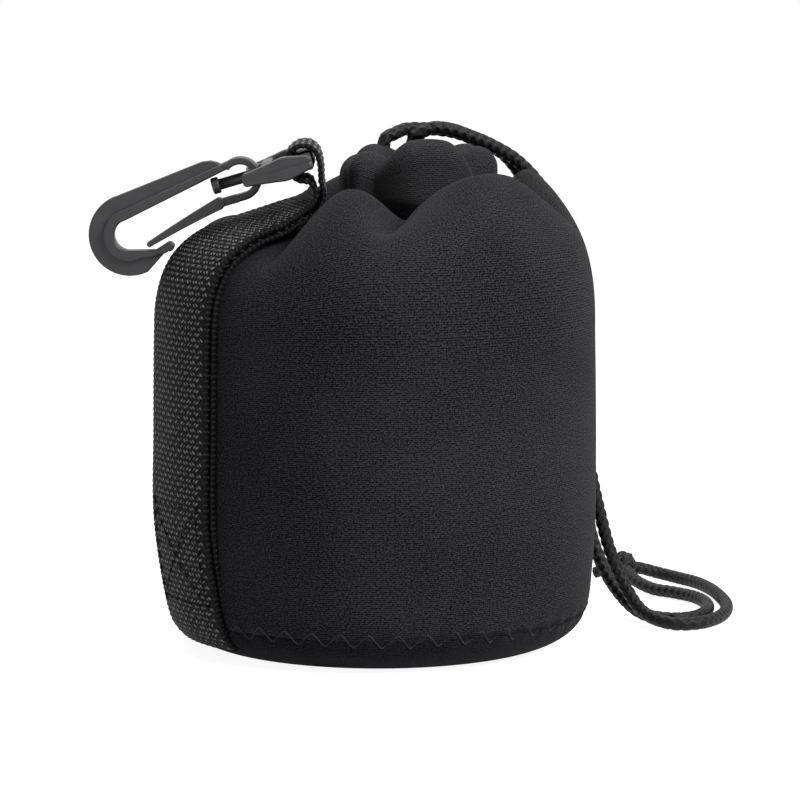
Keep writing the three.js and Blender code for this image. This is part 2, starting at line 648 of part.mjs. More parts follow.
// The loop seen from its side: full beside the bar, thin at both ends.
function loopSide() {
  const swell = LOOP_HALF_THICKNESS * SIDE_SWELL;
  const side = new THREE.Shape();
  side.moveTo(LOOP_START, -LOOP_TIP_HALF);
  side.quadraticCurveTo(BAR_HALF, -swell, SLOT_END, -LOOP_NECK_HALF);
  side.lineTo(EAR_END, -LOOP_TIP_HALF);
  side.lineTo(EAR_END, LOOP_TIP_HALF);
  side.lineTo(SLOT_END, LOOP_NECK_HALF);
  side.quadraticCurveTo(BAR_HALF, swell, LOOP_START, LOOP_TIP_HALF);
  side.closePath();
  return side;
}

function swivelLoop() {
  const frame = toSolid(slab(loopOutline(), 2 * LOOP_HALF_THICKNESS, LOOP_BEVEL));
  const taper = toSolid(upright(slab(loopSide(), 2 * LOOP_HALF + 2 * LOOP_BEVEL, 0)));
  const barGap = new THREE.BoxGeometry(2 * (BAR_HALF + LOOP_LIP), 2 * SLOT_HALF, LOOP_HALF_THICKNESS);
  const gapMiddle = BAR_HALF + LOOP_HALF_THICKNESS / 2;
  const above = toSolid(barGap.clone().translate(0, 0, gapMiddle));
  const below = toSolid(barGap.clone().translate(0, 0, -gapMiddle));
  const headStart = BOW_CENTRE + BOW_RADIUS;
  const stem = toSolid(axisRod(STEM_RADIUS, SLOT_END + LOOP_END_WALL / 2, headStart + STEM_HEAD_LENGTH / 2));
  const head = toSolid(axisRod(STEM_HEAD_RADIUS, headStart, headStart + STEM_HEAD_LENGTH));
  return toGeometry(frame.intersect(taper).subtract(above).subtract(below).add(stem).add(head));
}

// Hook: a raised rib round the throat, a thinner outer flange, and a rounded bow that turns on the stem.
// Points along the hook are measured from the middle of the bow.
const END_MIDDLE = new THREE.Vector2(HOOK_LENGTH, -HOOK_END_DROP);
const NOSE_TIP = new THREE.Vector2(END_MIDDLE.x - NOSE_REACH, END_MIDDLE.y - NOSE_DROP);
const BOW_INSIDE = BOW_RADIUS - BOW_WALL;
const GATE_ROOT = new THREE.Vector2(GATE_ROOT_ALONG, -(BOW_RADIUS + BOW_INSIDE) / 2);
const GATE_TIP = new THREE.Vector2(END_MIDDLE.x - GATE_TIP_BACK, END_MIDDLE.y - GATE_TIP_DROP);
const HOOK_CURL = degrees(-100);   // where the round end turns into the nose
const THROAT_FOOT = degrees(-65);  // where the throat's curve meets the nose

function hookRib() {
  const lip = GATE_ROOT.x - GATE_ROOT_RADIUS - SWIVEL_CLEARANCE;
  const noseMiddle = (NOSE_TIP.x + END_MIDDLE.x) / 2;
  const rib = new THREE.Shape();
  rib.moveTo(0, -BOW_RADIUS);
  rib.absarc(0, 0, BOW_RADIUS, -Math.PI / 2, Math.PI / 2, true);
  rib.absarc(END_MIDDLE.x, END_MIDDLE.y, RIB_RADIUS, Math.PI / 2, HOOK_CURL, true);
  rib.lineTo(noseMiddle, NOSE_TIP.y - NOSE_BELLY);
  rib.absarc(NOSE_TIP.x, NOSE_TIP.y, NOSE_RADIUS, degrees(-70), degrees(70), true);
  rib.lineTo(noseMiddle - NOSE_RADIUS, NOSE_TIP.y);
  rib.lineTo(END_MIDDLE.x - THROAT_RADIUS, NOSE_TIP.y + NOSE_RADIUS);
  rib.absarc(END_MIDDLE.x, END_MIDDLE.y, THROAT_RADIUS, THROAT_FOOT, Math.PI / 2, false);
  rib.absarc(0, 0, BOW_INSIDE, Math.PI / 2, -Math.PI / 2, false);
  rib.lineTo(lip, -BOW_INSIDE);
  rib.lineTo(lip, -BOW_RADIUS);
  rib.closePath();
  return rib;
}

function hookFlange() {
  const middle = (RIB_RADIUS + THROAT_RADIUS) / 2;
  const noseMiddle = (NOSE_TIP.x + END_MIDDLE.x) / 2;
  const flange = new THREE.Shape();
  flange.moveTo(BOW_RADIUS / 2, BOW_INSIDE + BOW_WALL / 2);
  flange.lineTo(BOW_RADIUS * 1.5, BOW_INSIDE + FLANGE_RISE);
  flange.absarc(END_MIDDLE.x, END_MIDDLE.y, FLANGE_RADIUS, Math.PI / 2, HOOK_CURL, true);
  flange.lineTo(noseMiddle, NOSE_TIP.y - NOSE_BELLY / 2);
  flange.absarc(END_MIDDLE.x, END_MIDDLE.y, middle, HOOK_CURL, Math.PI / 2, false);
  flange.closePath();
  return flange;
}

function hookBody() {
  const rib = toSolid(upright(slab(hookRib(), HOOK_RIB_WIDTH, RIB_BEVEL)));
  const flange = toSolid(upright(slab(hookFlange(), HOOK_FLANGE_WIDTH, FLANGE_BEVEL)));
  const boreRadius = STEM_RADIUS + SWIVEL_CLEARANCE;
  const bore = toSolid(axisRod(boreRadius, -BOW_RADIUS - BOW_WALL, -BOW_INSIDE + BOW_WALL));
  return toGeometry(rib.add(flange).subtract(bore)).translate(BOW_CENTRE, 0, 0);
}

function hookGate() {
  const bend = GATE_ROOT.clone().add(GATE_TIP).divideScalar(2);
  const gate = new THREE.Shape();
  gate.moveTo(GATE_ROOT.x, GATE_ROOT.y + GATE_ROOT_RADIUS);
  gate.quadraticCurveTo(bend.x, bend.y + GATE_ROOT_RADIUS, GATE_TIP.x, GATE_TIP.y + GATE_TIP_RADIUS);
  gate.absarc(GATE_TIP.x, GATE_TIP.y, GATE_TIP_RADIUS, Math.PI / 2, -Math.PI / 2, true);
  gate.quadraticCurveTo(bend.x, bend.y - GATE_ROOT_RADIUS, GATE_ROOT.x, GATE_ROOT.y - GATE_ROOT_RADIUS);
  gate.absarc(GATE_ROOT.x, GATE_ROOT.y, GATE_ROOT_RADIUS, -Math.PI / 2, Math.PI / 2, true);
  gate.closePath();
  return upright(slab(gate, GATE_WIDTH, GATE_BEVEL)).translate(BOW_CENTRE, 0, 0);
}

addPart(pouch, 'base_panel', basePanel(), 'base');
addPart(pouch, 'wall_sleeve', shell(wallProfile), 'neoprene');
addPart(pouch, 'shoulder_gathers', shell(shoulderProfile), 'neoprene');
addPart(pouch, 'mouth_hem', mouthHem(), 'neoprene');
addPart(pouch, 'hem_drawcord', hemCord(), 'cord');
addPart(pouch, 'drawcord_long_end', freeCord(LONG_END_EYELET, LONG_END_ROUTE), 'cord');
addPart(pouch, 'drawcord_short_end', freeCord(SHORT_END_EYELET, SHORT_END_ROUTE), 'cord');
addPart(pouch, 'drawcord_knot', cordKnot(), 'cord');

const foldStart = upRun.length + 1;
const foldEnd = foldStart + FOLD_STATIONS.length - 3;
addPart(pouch, 'strap_inner_layer', strapRun(0, foldStart), 'webbing');
addPart(pouch, 'strap_top_fold', strapRun(foldStart, foldEnd), 'webbing');
addPart(pouch, 'strap_outer_layer', strapRun(foldEnd, strapStations.length - 1), 'webbing');

addPart(swivelFrame, 'swivel_loop', swivelLoop(), 'plastic');
addPart(swivelFrame, 'hook_body', hookBody(), 'plastic');
addPart(swivelFrame, 'hook_gate', hookGate(), 'plastic');

export default pouch;
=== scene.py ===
"""Looks of a drawstring lens pouch: knit neoprene body, webbing belt strap, braided cord and snap hook."""

import logging
import math
from dataclasses import dataclass, field
from enum import Enum
from typing import Callable, Sequence

import bpy
import numpy as np
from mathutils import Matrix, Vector
from mathutils.geometry import tessellate_polygon


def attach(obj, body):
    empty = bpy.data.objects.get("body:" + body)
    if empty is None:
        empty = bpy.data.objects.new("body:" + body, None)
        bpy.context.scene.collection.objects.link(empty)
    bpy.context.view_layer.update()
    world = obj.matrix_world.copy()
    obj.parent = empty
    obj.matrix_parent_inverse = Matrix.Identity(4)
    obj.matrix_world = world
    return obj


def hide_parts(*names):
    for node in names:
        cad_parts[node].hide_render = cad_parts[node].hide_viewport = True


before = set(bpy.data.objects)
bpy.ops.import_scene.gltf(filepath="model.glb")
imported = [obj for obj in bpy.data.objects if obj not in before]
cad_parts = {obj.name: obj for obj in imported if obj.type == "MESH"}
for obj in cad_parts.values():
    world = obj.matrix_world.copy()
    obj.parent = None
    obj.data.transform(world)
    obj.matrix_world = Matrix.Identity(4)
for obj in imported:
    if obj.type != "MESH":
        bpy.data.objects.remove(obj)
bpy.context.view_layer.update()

LOG = logging.getLogger("lens_pouch")
MM = 0.001
IMAGE_SIDE = 800
FULL_TURN = 360.0
ROUND = 2 * math.pi
TINY = 1e-6
NEARLY_PARALLEL = 1e-3
SAMPLES_PER_POINT = 24
CAP_HEIGHT = 0.5
SIDES = (-1.0, 1.0)

Points = np.ndarray
Values = np.ndarray
Faces = list[tuple[int, ...]]
Pair = tuple[float, float]
Triple = tuple[float, float, float]
Relief = Callable[[Values, Values], Values]
Tube = tuple[Points, Faces, Values, Points]
Woven = tuple[Points, Points, Values, Values]
Material = bpy.types.Material
Node = bpy.types.Node
Piece = bpy.types.Object
Socket = bpy.types.NodeSocket


class Body(Enum):
    """The moving bodies that pieces ride on."""

    POUCH = "pouch"
    LOOP = "loop"
    HOOK = "hook"
    GATE = "gate"


class Slot(Enum):
    """The record's material slots."""

    BASE = "base_neoprene"
    WALL = "wall_neoprene"
    HEM = "hem_neoprene"
    CORD = "drawcord"
    WEBBING = "webbing"
    PLASTIC = "hook_plastic"


# Curves and meshes


def smoothstep(x: Values | float, low: float, high: float) -> Values:
    """Rises smoothly from 0 at low to 1 at high."""
    t = np.clip((np.asarray(x, float) - low) / (high - low), 0.0, 1.0)
    return t * t * (3.0 - 2.0 * t)


def mix(a: Values | float, b: Values | float, t: Values | float) -> Values:
    """Goes straight from a to b as t goes from 0 to 1."""
    return a + (b - a) * t


def lengths_along(points: Points) -> Values:
    """Length along a polyline up to each of its points."""
    return np.concatenate([[0.0], np.cumsum(np.linalg.norm(np.diff(points, axis=0), axis=1))])


def catmull_rom(points: Points, parameter: float) -> Values:
    """One point of a centripetal Catmull-Rom curve.

    Args:
        points: the points that the curve passes through, one per row.
        parameter: 0 at the first point and 1 at the last, even in points and not in length.

    Returns:
        The point on the curve.
    """
    last = len(points) - 1
    place = min(max(parameter, 0.0), 1.0) * last
    segment = min(int(place), last - 1)
    weight = place - segment
    p1, p2 = points[segment], points[segment + 1]
    p0 = points[segment - 1] if segment > 0 else 2 * p1 - p2
    p3 = points[segment + 2] if segment + 2 <= last else 2 * p2 - p1
    spans = ((p0, p1), (p1, p2), (p2, p3))
    d0, d1, d2 = (max(float(np.linalg.norm(b - a)), TINY) ** 0.5 for a, b in spans)
    m1 = ((p1 - p0) / d0 - (p2 - p0) / (d0 + d1) + (p2 - p1) / d1) * d1
    m2 = ((p2 - p1) / d1 - (p3 - p1) / (d1 + d2) + (p3 - p2) / d2) * d1
    w2, w3 = weight**2, weight**3
    start, leave = 2 * w3 - 3 * w2 + 1, w3 - 2 * w2 + weight
    return start * p1 + leave * m1 + (3 * w2 - 2 * w3) * p2 + (w3 - w2) * m2


def even_steps(points: Points, step: float) -> Points:
    """Points at even spacing along a polyline.

    Args:
        points: a dense polyline, one point per row.
        step: the spacing wanted, met as nearly as a whole number of steps allows.

    Returns:
        The new points, with the same two ends.
    """
    lengths = lengths_along(points)
    wanted = np.linspace(0.0, lengths[-1], max(2, round(lengths[-1] / step) + 1))
    return np.column_stack([np.interp(wanted, lengths, column) for column in points.T])


def smooth_route(points: Points, step: float) -> Points:
    """A Catmull-Rom curve through points, sampled at an even step."""
    places = np.linspace(0.0, 1.0, SAMPLES_PER_POINT * len(points))
    return even_steps(np.array([catmull_rom(points, t) for t in places]), step)


def sheet_faces(rows: int, columns: int, closed_rows: bool = False) -> Faces:
    """Quads of a grid whose rows close on themselves.

    Args:
        rows: number of rows.
        columns: number of points in a row.
        closed_rows: whether the last row joins the first.

    Returns:
        The faces, wound along the row and then up.
    """
    faces = []
    for i in range(rows if closed_rows else rows - 1):
        low, high = i * columns, (i + 1) % rows * columns
        for j in range(columns):
            beside = (j + 1) % columns
            faces.append((low + j, low + beside, high + beside, high + j))
    return faces


def fan_caps(rows: int, columns: int) -> Faces:
    """Triangles that close both ends of a grid, on two points that follow the grid's own.

    Args:
        rows: number of rows.
        columns: number of points in a row.

    Returns:
        The faces, by turns at the start and at the end.
    """
    start, last = rows * columns, (rows - 1) * columns
    faces = []
    for j in range(columns):
        beside = (j + 1) % columns
        faces += [(start, beside, j), (start + 1, last + j, last + beside)]
    return faces


def grid_cloth(across: Sequence[float], along: Sequence[float]) -> Points:
    """Flat cloth coordinates of a grid's quads, in the order of sheet_faces.

    Args:
        across: the coordinate at each column, and once more where the row closes.
        along: the coordinate at each row.

    Returns:
        One pair for each corner of each face.
    """
    corners = [
        ((left, low), (right, low), (right, high), (left, high))
        for low, high in zip(along[:-1], along[1:])
        for left, right in zip(across[:-1], across[1:])
    ]
    return np.array(corners).reshape(-1, 2)


def link_piece(name: str, mesh: bpy.types.Mesh) -> Piece:
    """Puts a mesh in the scene.

    Args:
        name: the object's name.
        mesh: its mesh.

    Returns:
        The new object, at the origin.
    """
    piece = bpy.data.objects.new(name, mesh)
    bpy.context.scene.collection.objects.link(piece)
    return piece


def make_piece(
    name: str,
    points: Points,
    faces: Faces,
    material: Material,
    cloth: Points | None = None,
    relief: Values | None = None,
) -> Piece:
    """Makes a smooth mesh piece in the part's frame.

    Args:
        name: the piece's name.
        points: vertices in millimetres.
        faces: index tuples.
        material: the finish.
        cloth: flat cloth coordinates in millimetres for each corner of each face, in order.
        relief: a height from 0 to 1 for each vertex, which the finish reads.

    Returns:
        The new object, at the origin.
    """
    mesh = bpy.data.meshes.new(name)
    mesh.from_pydata((points * MM).tolist(), [], faces)
    if cloth is not None:
        layer = mesh.uv_layers.new(name="cloth")
        layer.data.foreach_set("uv", np.asarray(cloth, np.float32).ravel())
    if relief is not None:
        attribute = mesh.attributes.new("relief", "FLOAT", "POINT")
        attribute.data.foreach_set("value", np.asarray(relief, np.float32))
    mesh.polygons.foreach_set("use_smooth", [True] * len(mesh.polygons))
    mesh.materials.append(material)
    mesh.update()
    return link_piece(name, mesh)


def settle(piece: Piece, body: Body, slot: Slot, *nodes: str) -> Piece:
    """Puts a finished piece on its body and reports it.

    Args:
        piece: the finished piece.
        body: the body that it rides on.
        slot: its material slot, not used.
        nodes: the solids that it stands for, which are hidden.

    Returns:
        The same piece.
    """
    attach(piece, body.value)
    if nodes:
        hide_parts(*nodes)
    LOG.info("%s rides on %s: %d faces", piece.name, body.value, len(piece.data.polygons))
    return piece


def tube_mesh(path: Points, radius: float, around: int, relief: Relief) -> Tube:
    """A closed tube with a raised pattern along a path.

    Args:
        path: evenly spaced points of the middle line, in millimetres.
        radius: the outside radius at the top of the pattern.
        around: number of points round the tube.
        relief: gives the depth below the outside radius, from the turn in radians and the length so far.

    Returns:
        The vertices, the faces, a height from 0 to 1 for each vertex, and each corner's cloth coordinates.
    """
    tangents = np.gradient(path, axis=0)
    tangents /= np.linalg.norm(tangents, axis=1)[:, None]
    side = np.cross(tangents[0], [0.0, 0.0, 1.0])
    if np.linalg.norm(side) < NEARLY_PARALLEL:
        side = np.cross(tangents[0], [0.0, 1.0, 0.0])
    turns = np.arange(around) / around * ROUND
    lengths = lengths_along(path)
    rings, heights = [], []
    for centre, tangent, length in zip(path, tangents, lengths):
        side = side - tangent * (side @ tangent)
        side /= np.linalg.norm(side)
        other = np.cross(tangent, side)
        depth = relief(turns, np.full(around, length))
        reach = (radius - depth)[:, None]
        rings.append(centre + reach * (np.cos(turns)[:, None] * side + np.sin(turns)[:, None] * other))
        heights.append(1.0 - depth / max(float(depth.max()), TINY))
    count = len(path)
    points = np.vstack([*rings, path[:1], path[-1:]])
    faces = sheet_faces(count, around) + fan_caps(count, around)
    caps = [[(j, 0.0)] * 3 + [(j, lengths[-1])] * 3 for j in range(around)]
    cloth = np.vstack([grid_cloth(range(around + 1), lengths), np.array(caps).reshape(-1, 2)])
    return points, faces, np.concatenate([*heights, [CAP_HEIGHT] * 2]), cloth


# Nodes and finishes


class NodeBench:
    """Adds and links the nodes of one tree."""

    def __init__(self, tree: bpy.types.NodeTree) -> None:
        """Takes over a tree and empties it."""
        self.tree = tree
        tree.nodes.clear()

    def add(self, kind: str, feeds: dict[str | int, object] | None = None, **settings: object) -> Node:
        """Adds a node.

        Args:
            kind: the node's type.
            feeds: a socket or a plain value for each input that is named or numbered.
            settings: the node's own properties.

        Returns:
            The new node.
        """
        node = self.tree.nodes.new(kind)
        for key, value in settings.items():
            setattr(node, key, value)
        for key, value in (feeds or {}).items():
            self.feed(node.inputs[key], value)
        return node

    def out(self, kind: str, feeds: dict[str | int, object] | None = None, **settings: object) -> Socket:
        """Adds a node as add does and gives its first output."""
        return self.add(kind, feeds, **settings).outputs[0]

    def feed(self, target: Socket, value: object) -> None:
        """Feeds one input.

        Args:
            target: the input.
            value: a socket to link to it, or a plain value to set on it.
        """
        if isinstance(value, Socket):
            self.tree.links.new(value, target)
        else:
            target.default_value = value

    def math(self, operation: str, *values: object) -> Socket:
        """Adds a Math node on sockets or numbers."""
        return self.out("ShaderNodeMath", dict(enumerate(values)), operation=operation)

    def lift(self, value: Socket, slope: float, level: float) -> Socket:
        """A socket times a slope, above a level."""
        return self.math("ADD", level, self.math("MULTIPLY", value, slope))

    def total(self, *terms: tuple[Socket, float]) -> Socket:
        """Adds up sockets.

        Args:
            terms: each socket with its weight.

        Returns:
            The weighted sum.
        """
        first, *others = [self.math("MULTIPLY", socket, weight) for socket, weight in terms]
        for other in others:
            first = self.math("ADD", first, other)
        return first

    def straight_rays(self) -> Socket:
        """Finds the rays that look straight at a surface.

        Returns:
            1 for camera, glossy and transmission rays, and 0 for the rest.
        """
        rays = self.add("ShaderNodeLightPath").outputs
        seen = self.math("MAXIMUM", rays["Is Camera Ray"], rays["Is Glossy Ray"])
        return self.math("MAXIMUM", seen, rays["Is Transmission Ray"])


class ShaderBench(NodeBench):
    """The nodes of one material, with its shader and output."""

    def __init__(self, name: str) -> None:
        """Starts a material.

        Args:
            name: the material's name.
        """
        self.material = bpy.data.materials.new(name)
        self.material.use_nodes = True
        super().__init__(self.material.node_tree)
        self.shader = self.add("ShaderNodeBsdfPrincipled")
        self.output = self.add("ShaderNodeOutputMaterial", {"Surface": self.shader.outputs["BSDF"]})

    def cloth(self) -> Socket:
        """The flat cloth coordinates, in millimetres."""
        return self.out("ShaderNodeUVMap", uv_map="cloth")

    def relief(self) -> Socket:
        """The height of the mesh's raised pattern, from 0 to 1."""
        return self.add("ShaderNodeAttribute", attribute_name="relief").outputs["Fac"]

    def place(self) -> Socket:
        """The object's own coordinates, in metres."""
        return self.add("ShaderNodeTexCoord").outputs["Object"]

    def noise(self, vector: Socket, scale: float | Triple, detail: float = 2.0) -> Socket:
        """Adds a Noise texture.

        Args:
            vector: the coordinates.
            scale: one scale for all directions, or one for each.
            detail: the texture's detail.

        Returns:
            The noise.
        """
        if isinstance(scale, tuple):
            vector, scale = self.out("ShaderNodeMapping", {"Vector": vector, "Scale": scale}), 1.0
        feeds = {"Vector": vector, "Scale": scale, "Detail": detail}
        return self.add("ShaderNodeTexNoise", feeds).outputs["Fac"]

    def shade(self, factor: Socket, *stops: tuple[float, Triple]) -> None:
        """Colours the shader by a ramp.

        Args:
            factor: the place on the ramp.
            stops: the place and the linear colour of each stop.
        """
        node = self.add("ShaderNodeValToRGB", {"Fac": factor})
        elements = node.color_ramp.elements
        while len(elements) < len(stops):
            elements.new(0.5)
        for element, (place, colour) in zip(elements, stops):
            element.position = place
            element.color = (*colour, 1.0)
        self.set(Base_Color=node.outputs["Color"])

    def bump(self, height: Socket, strength: float, distance: float) -> None:
        """Roughens the shader's normals by a height, to a distance in metres."""
        feeds = {"Height": height, "Strength": strength, "Distance": distance}
        self.set(Normal=self.out("ShaderNodeBump", feeds))

    def set(self, **values: object) -> None:
        """Feeds the shader's own inputs, named with underscores for spaces."""
        for key, value in values.items():
            self.feed(self.shader.inputs[key.replace("_", " ")], value)


@dataclass(frozen=True)
class KnitFinish:
    """Matte jersey on neoprene, with fine rows along the cloth's first direction."""

    name: str
    dark: Triple
    light: Triple
    dark_stop: float = 0.44
    light_stop: float = 0.57
    row_pitch: float = 0.36
    stitch_length: float = 0.42
    drift_scale: Triple = (0.12, 0.5, 1.0)
    drift_turn: float = 2.5
    speckle_scale: Triple = (4.6, 4.6, 1.0)
    patch_scale: Triple = (0.05, 0.05, 1.0)
    row_relief: float = 0.4
    stitch_relief: float = 1.2
    bump: Pair = (0.55, 0.00012)
    speckle_tone: float = 0.5
    stitch_tone: float = 0.4
    patch_tone: float = 0.1
    row_tone: float = 0.045
    roughness: float = 0.92
    specular: float = 0.06
    sheen: float = 0.05
    sheen_roughness: float = 0.5

    def material(self) -> Material:
        """Builds the material on the cloth coordinates.

        Returns:
            The material.
        """
        bench = ShaderBench(self.name)
        cloth = bench.cloth()
        up = bench.add("ShaderNodeSeparateXYZ", {0: cloth}).outputs["Y"]
        drift = bench.noise(cloth, self.drift_scale)
        rows = bench.math("SINE", bench.total((up, ROUND / self.row_pitch), (drift, self.drift_turn)))
        stitches = bench.noise(cloth, (1.0 / self.stitch_length, 1.0 / self.row_pitch, 1.0), 1.0)
        bench.bump(bench.total((rows, self.row_relief), (stitches, self.stitch_relief)), *self.bump)
        tone = bench.total(
            (bench.noise(cloth, self.speckle_scale), self.speckle_tone),
            (stitches, self.stitch_tone),
            (bench.noise(cloth, self.patch_scale), self.patch_tone),
            (rows, self.row_tone),
        )
        bench.shade(tone, (self.dark_stop, self.dark), (self.light_stop, self.light))
        bench.set(Roughness=self.roughness, Specular_IOR_Level=self.specular)
        bench.set(Sheen_Weight=self.sheen, Sheen_Roughness=self.sheen_roughness)
        return bench.material


@dataclass(frozen=True)
class WebbingFinish:
    """Black woven webbing with a painted highlight on its raised float yarns and painted shade in its
    grooves; each tone is a slope and a level.
    """

    name: str = "webbing_weave"
    # The groove stop is painted shade and the float yarn stop is a painted highlight.
    groove_painted_shade: tuple[float, Triple] = (0.2, (0.0015, 0.0015, 0.0016))
    yarn: tuple[float, Triple] = (0.36, (0.009, 0.009, 0.0093))
    float_yarn_painted_highlight: tuple[float, Triple] = (0.6, (0.3, 0.3, 0.304))
    row_pitch: float = 1.0
    ply_pitch: float = 0.95
    fibre_scale: Triple = (3.0, 9.0, 1.0)
    worn_scale: Triple = (0.5, 0.9, 1.0)
    fibre_tone: Pair = (0.6, 0.45)
    worn_tone: Pair = (0.8, 0.55)
    ply_tone: Pair = (0.3, 0.8)
    bump: Pair = (0.4, 0.00008)
    roughness: float = 0.7
    specular: float = 0.1

    def material(self) -> Material:
        """Builds the material from the weave's relief and the cloth coordinates.

        Returns:
            The material.
        """
        bench = ShaderBench(self.name)
        cloth = bench.cloth()
        across, along, _ = bench.add("ShaderNodeSeparateXYZ", {0: cloth}).outputs
        zigzag = bench.math("ADD", across, bench.math("PINGPONG", along, self.row_pitch))
        ply = bench.math("SINE", bench.math("MULTIPLY", zigzag, ROUND / self.ply_pitch))
        fibres, worn = bench.noise(cloth, self.fibre_scale), bench.noise(cloth, self.worn_scale)
        # The weave's relief sets the colour: painted shade in the grooves and a painted highlight on the
        # raised float yarns; fibres, wear and ply add the yarn's own tone.
        tone = bench.relief()
        for pattern, lift in ((fibres, self.fibre_tone), (worn, self.worn_tone), (ply, self.ply_tone)):
            tone = bench.math("MULTIPLY", tone, bench.lift(pattern, *lift))
        bench.shade(tone, self.groove_painted_shade, self.yarn, self.float_yarn_painted_highlight)
        bench.bump(fibres, *self.bump)
        bench.set(Roughness=self.roughness, Specular_IOR_Level=self.specular)
        return bench.material


@dataclass(frozen=True)
class CordFinish:
    """Black braided cord with painted shade in its grooves; the tone is a slope and a level."""

    name: str = "cord_braid"
    # The groove stop is painted shade.
    groove_painted_shade: tuple[float, Triple] = (0.4, (0.0006, 0.0006, 0.0006))
    strand: tuple[float, Triple] = (0.9, (0.014, 0.014, 0.0145))
    fibre_scale: Triple = (1.6, 5.0, 1.0)
    fibre_tone: Pair = (0.8, 0.5)
    bump: Pair = (0.4, 0.00008)
    roughness: float = 0.5
    specular: float = 0.22

    def material(self) -> Material:
        """Builds the material from the braid's relief and the cord's own length.

        Returns:
            The material.
        """
        bench = ShaderBench(self.name)
        fibres = bench.noise(bench.cloth(), self.fibre_scale)
        # The braid's relief darkens the colour in its grooves as painted shade; the fibres add the cord's own
        # tone.
        tone = bench.math("MULTIPLY", bench.relief(), bench.lift(fibres, *self.fibre_tone))
        bench.shade(tone, self.groove_painted_shade, self.strand)
        bench.bump(fibres, *self.bump)
        bench.set(Roughness=self.roughness, Specular_IOR_Level=self.specular)
        return bench.material


@dataclass(frozen=True)
class MouldedFinish:
    """Satin grey moulded plastic with a fine spark-eroded grain."""

    name: str = "moulded_plastic"
    low: tuple[float, Triple] = (0.35, (0.034, 0.034, 0.037))
    high: tuple[float, Triple] = (0.65, (0.052, 0.052, 0.056))
    grain_scale: float = 9000.0
    cloud_scale: float = 260.0
    cloud_detail: float = 3.0
    grain_tone: float = 0.35
    cloud_tone: float = 0.65
    bump: Pair = (0.12, 0.00004)
    roughness: Pair = (0.16, 0.34)
    specular: float = 0.4

    def material(self) -> Material:
        """Builds the material on object coordinates.

        Returns:
            The material.
        """
        bench = ShaderBench(self.name)
        place = bench.place()
        grain = bench.noise(place, self.grain_scale, 1.0)
        cloudy = bench.noise(place, self.cloud_scale, self.cloud_detail)
        bench.shade(bench.total((grain, self.grain_tone), (cloudy, self.cloud_tone)), self.low, self.high)
        bench.bump(grain, *self.bump)
        bench.set(Roughness=bench.lift(cloudy, *self.roughness), Specular_IOR_Level=self.specular)
        return bench.material


@dataclass(frozen=True)
class ThreadFinish:
    """Twisted polyester sewing thread."""

    name: str
    low: Triple
    high: Triple
    low_stop: float = 0.3
    high_stop: float = 0.7
    twist_scale: float = 5200.0
    bump: Pair = (0.5, 0.00006)
    roughness: float = 0.6
    specular: float = 0.1

    def material(self) -> Material:
        """Builds the material on object coordinates.

        Returns:
            The material.
        """
        bench = ShaderBench(self.name)
        twist = bench.noise(bench.place(), self.twist_scale)
        bench.shade(twist, (self.low_stop, self.low), (self.high_stop, self.high))
        bench.bump(twist, *self.bump)
        bench.set(Roughness=self.roughness, Specular_IOR_Level=self.specular)
        return bench.material


# Sewing: what repeats along a path


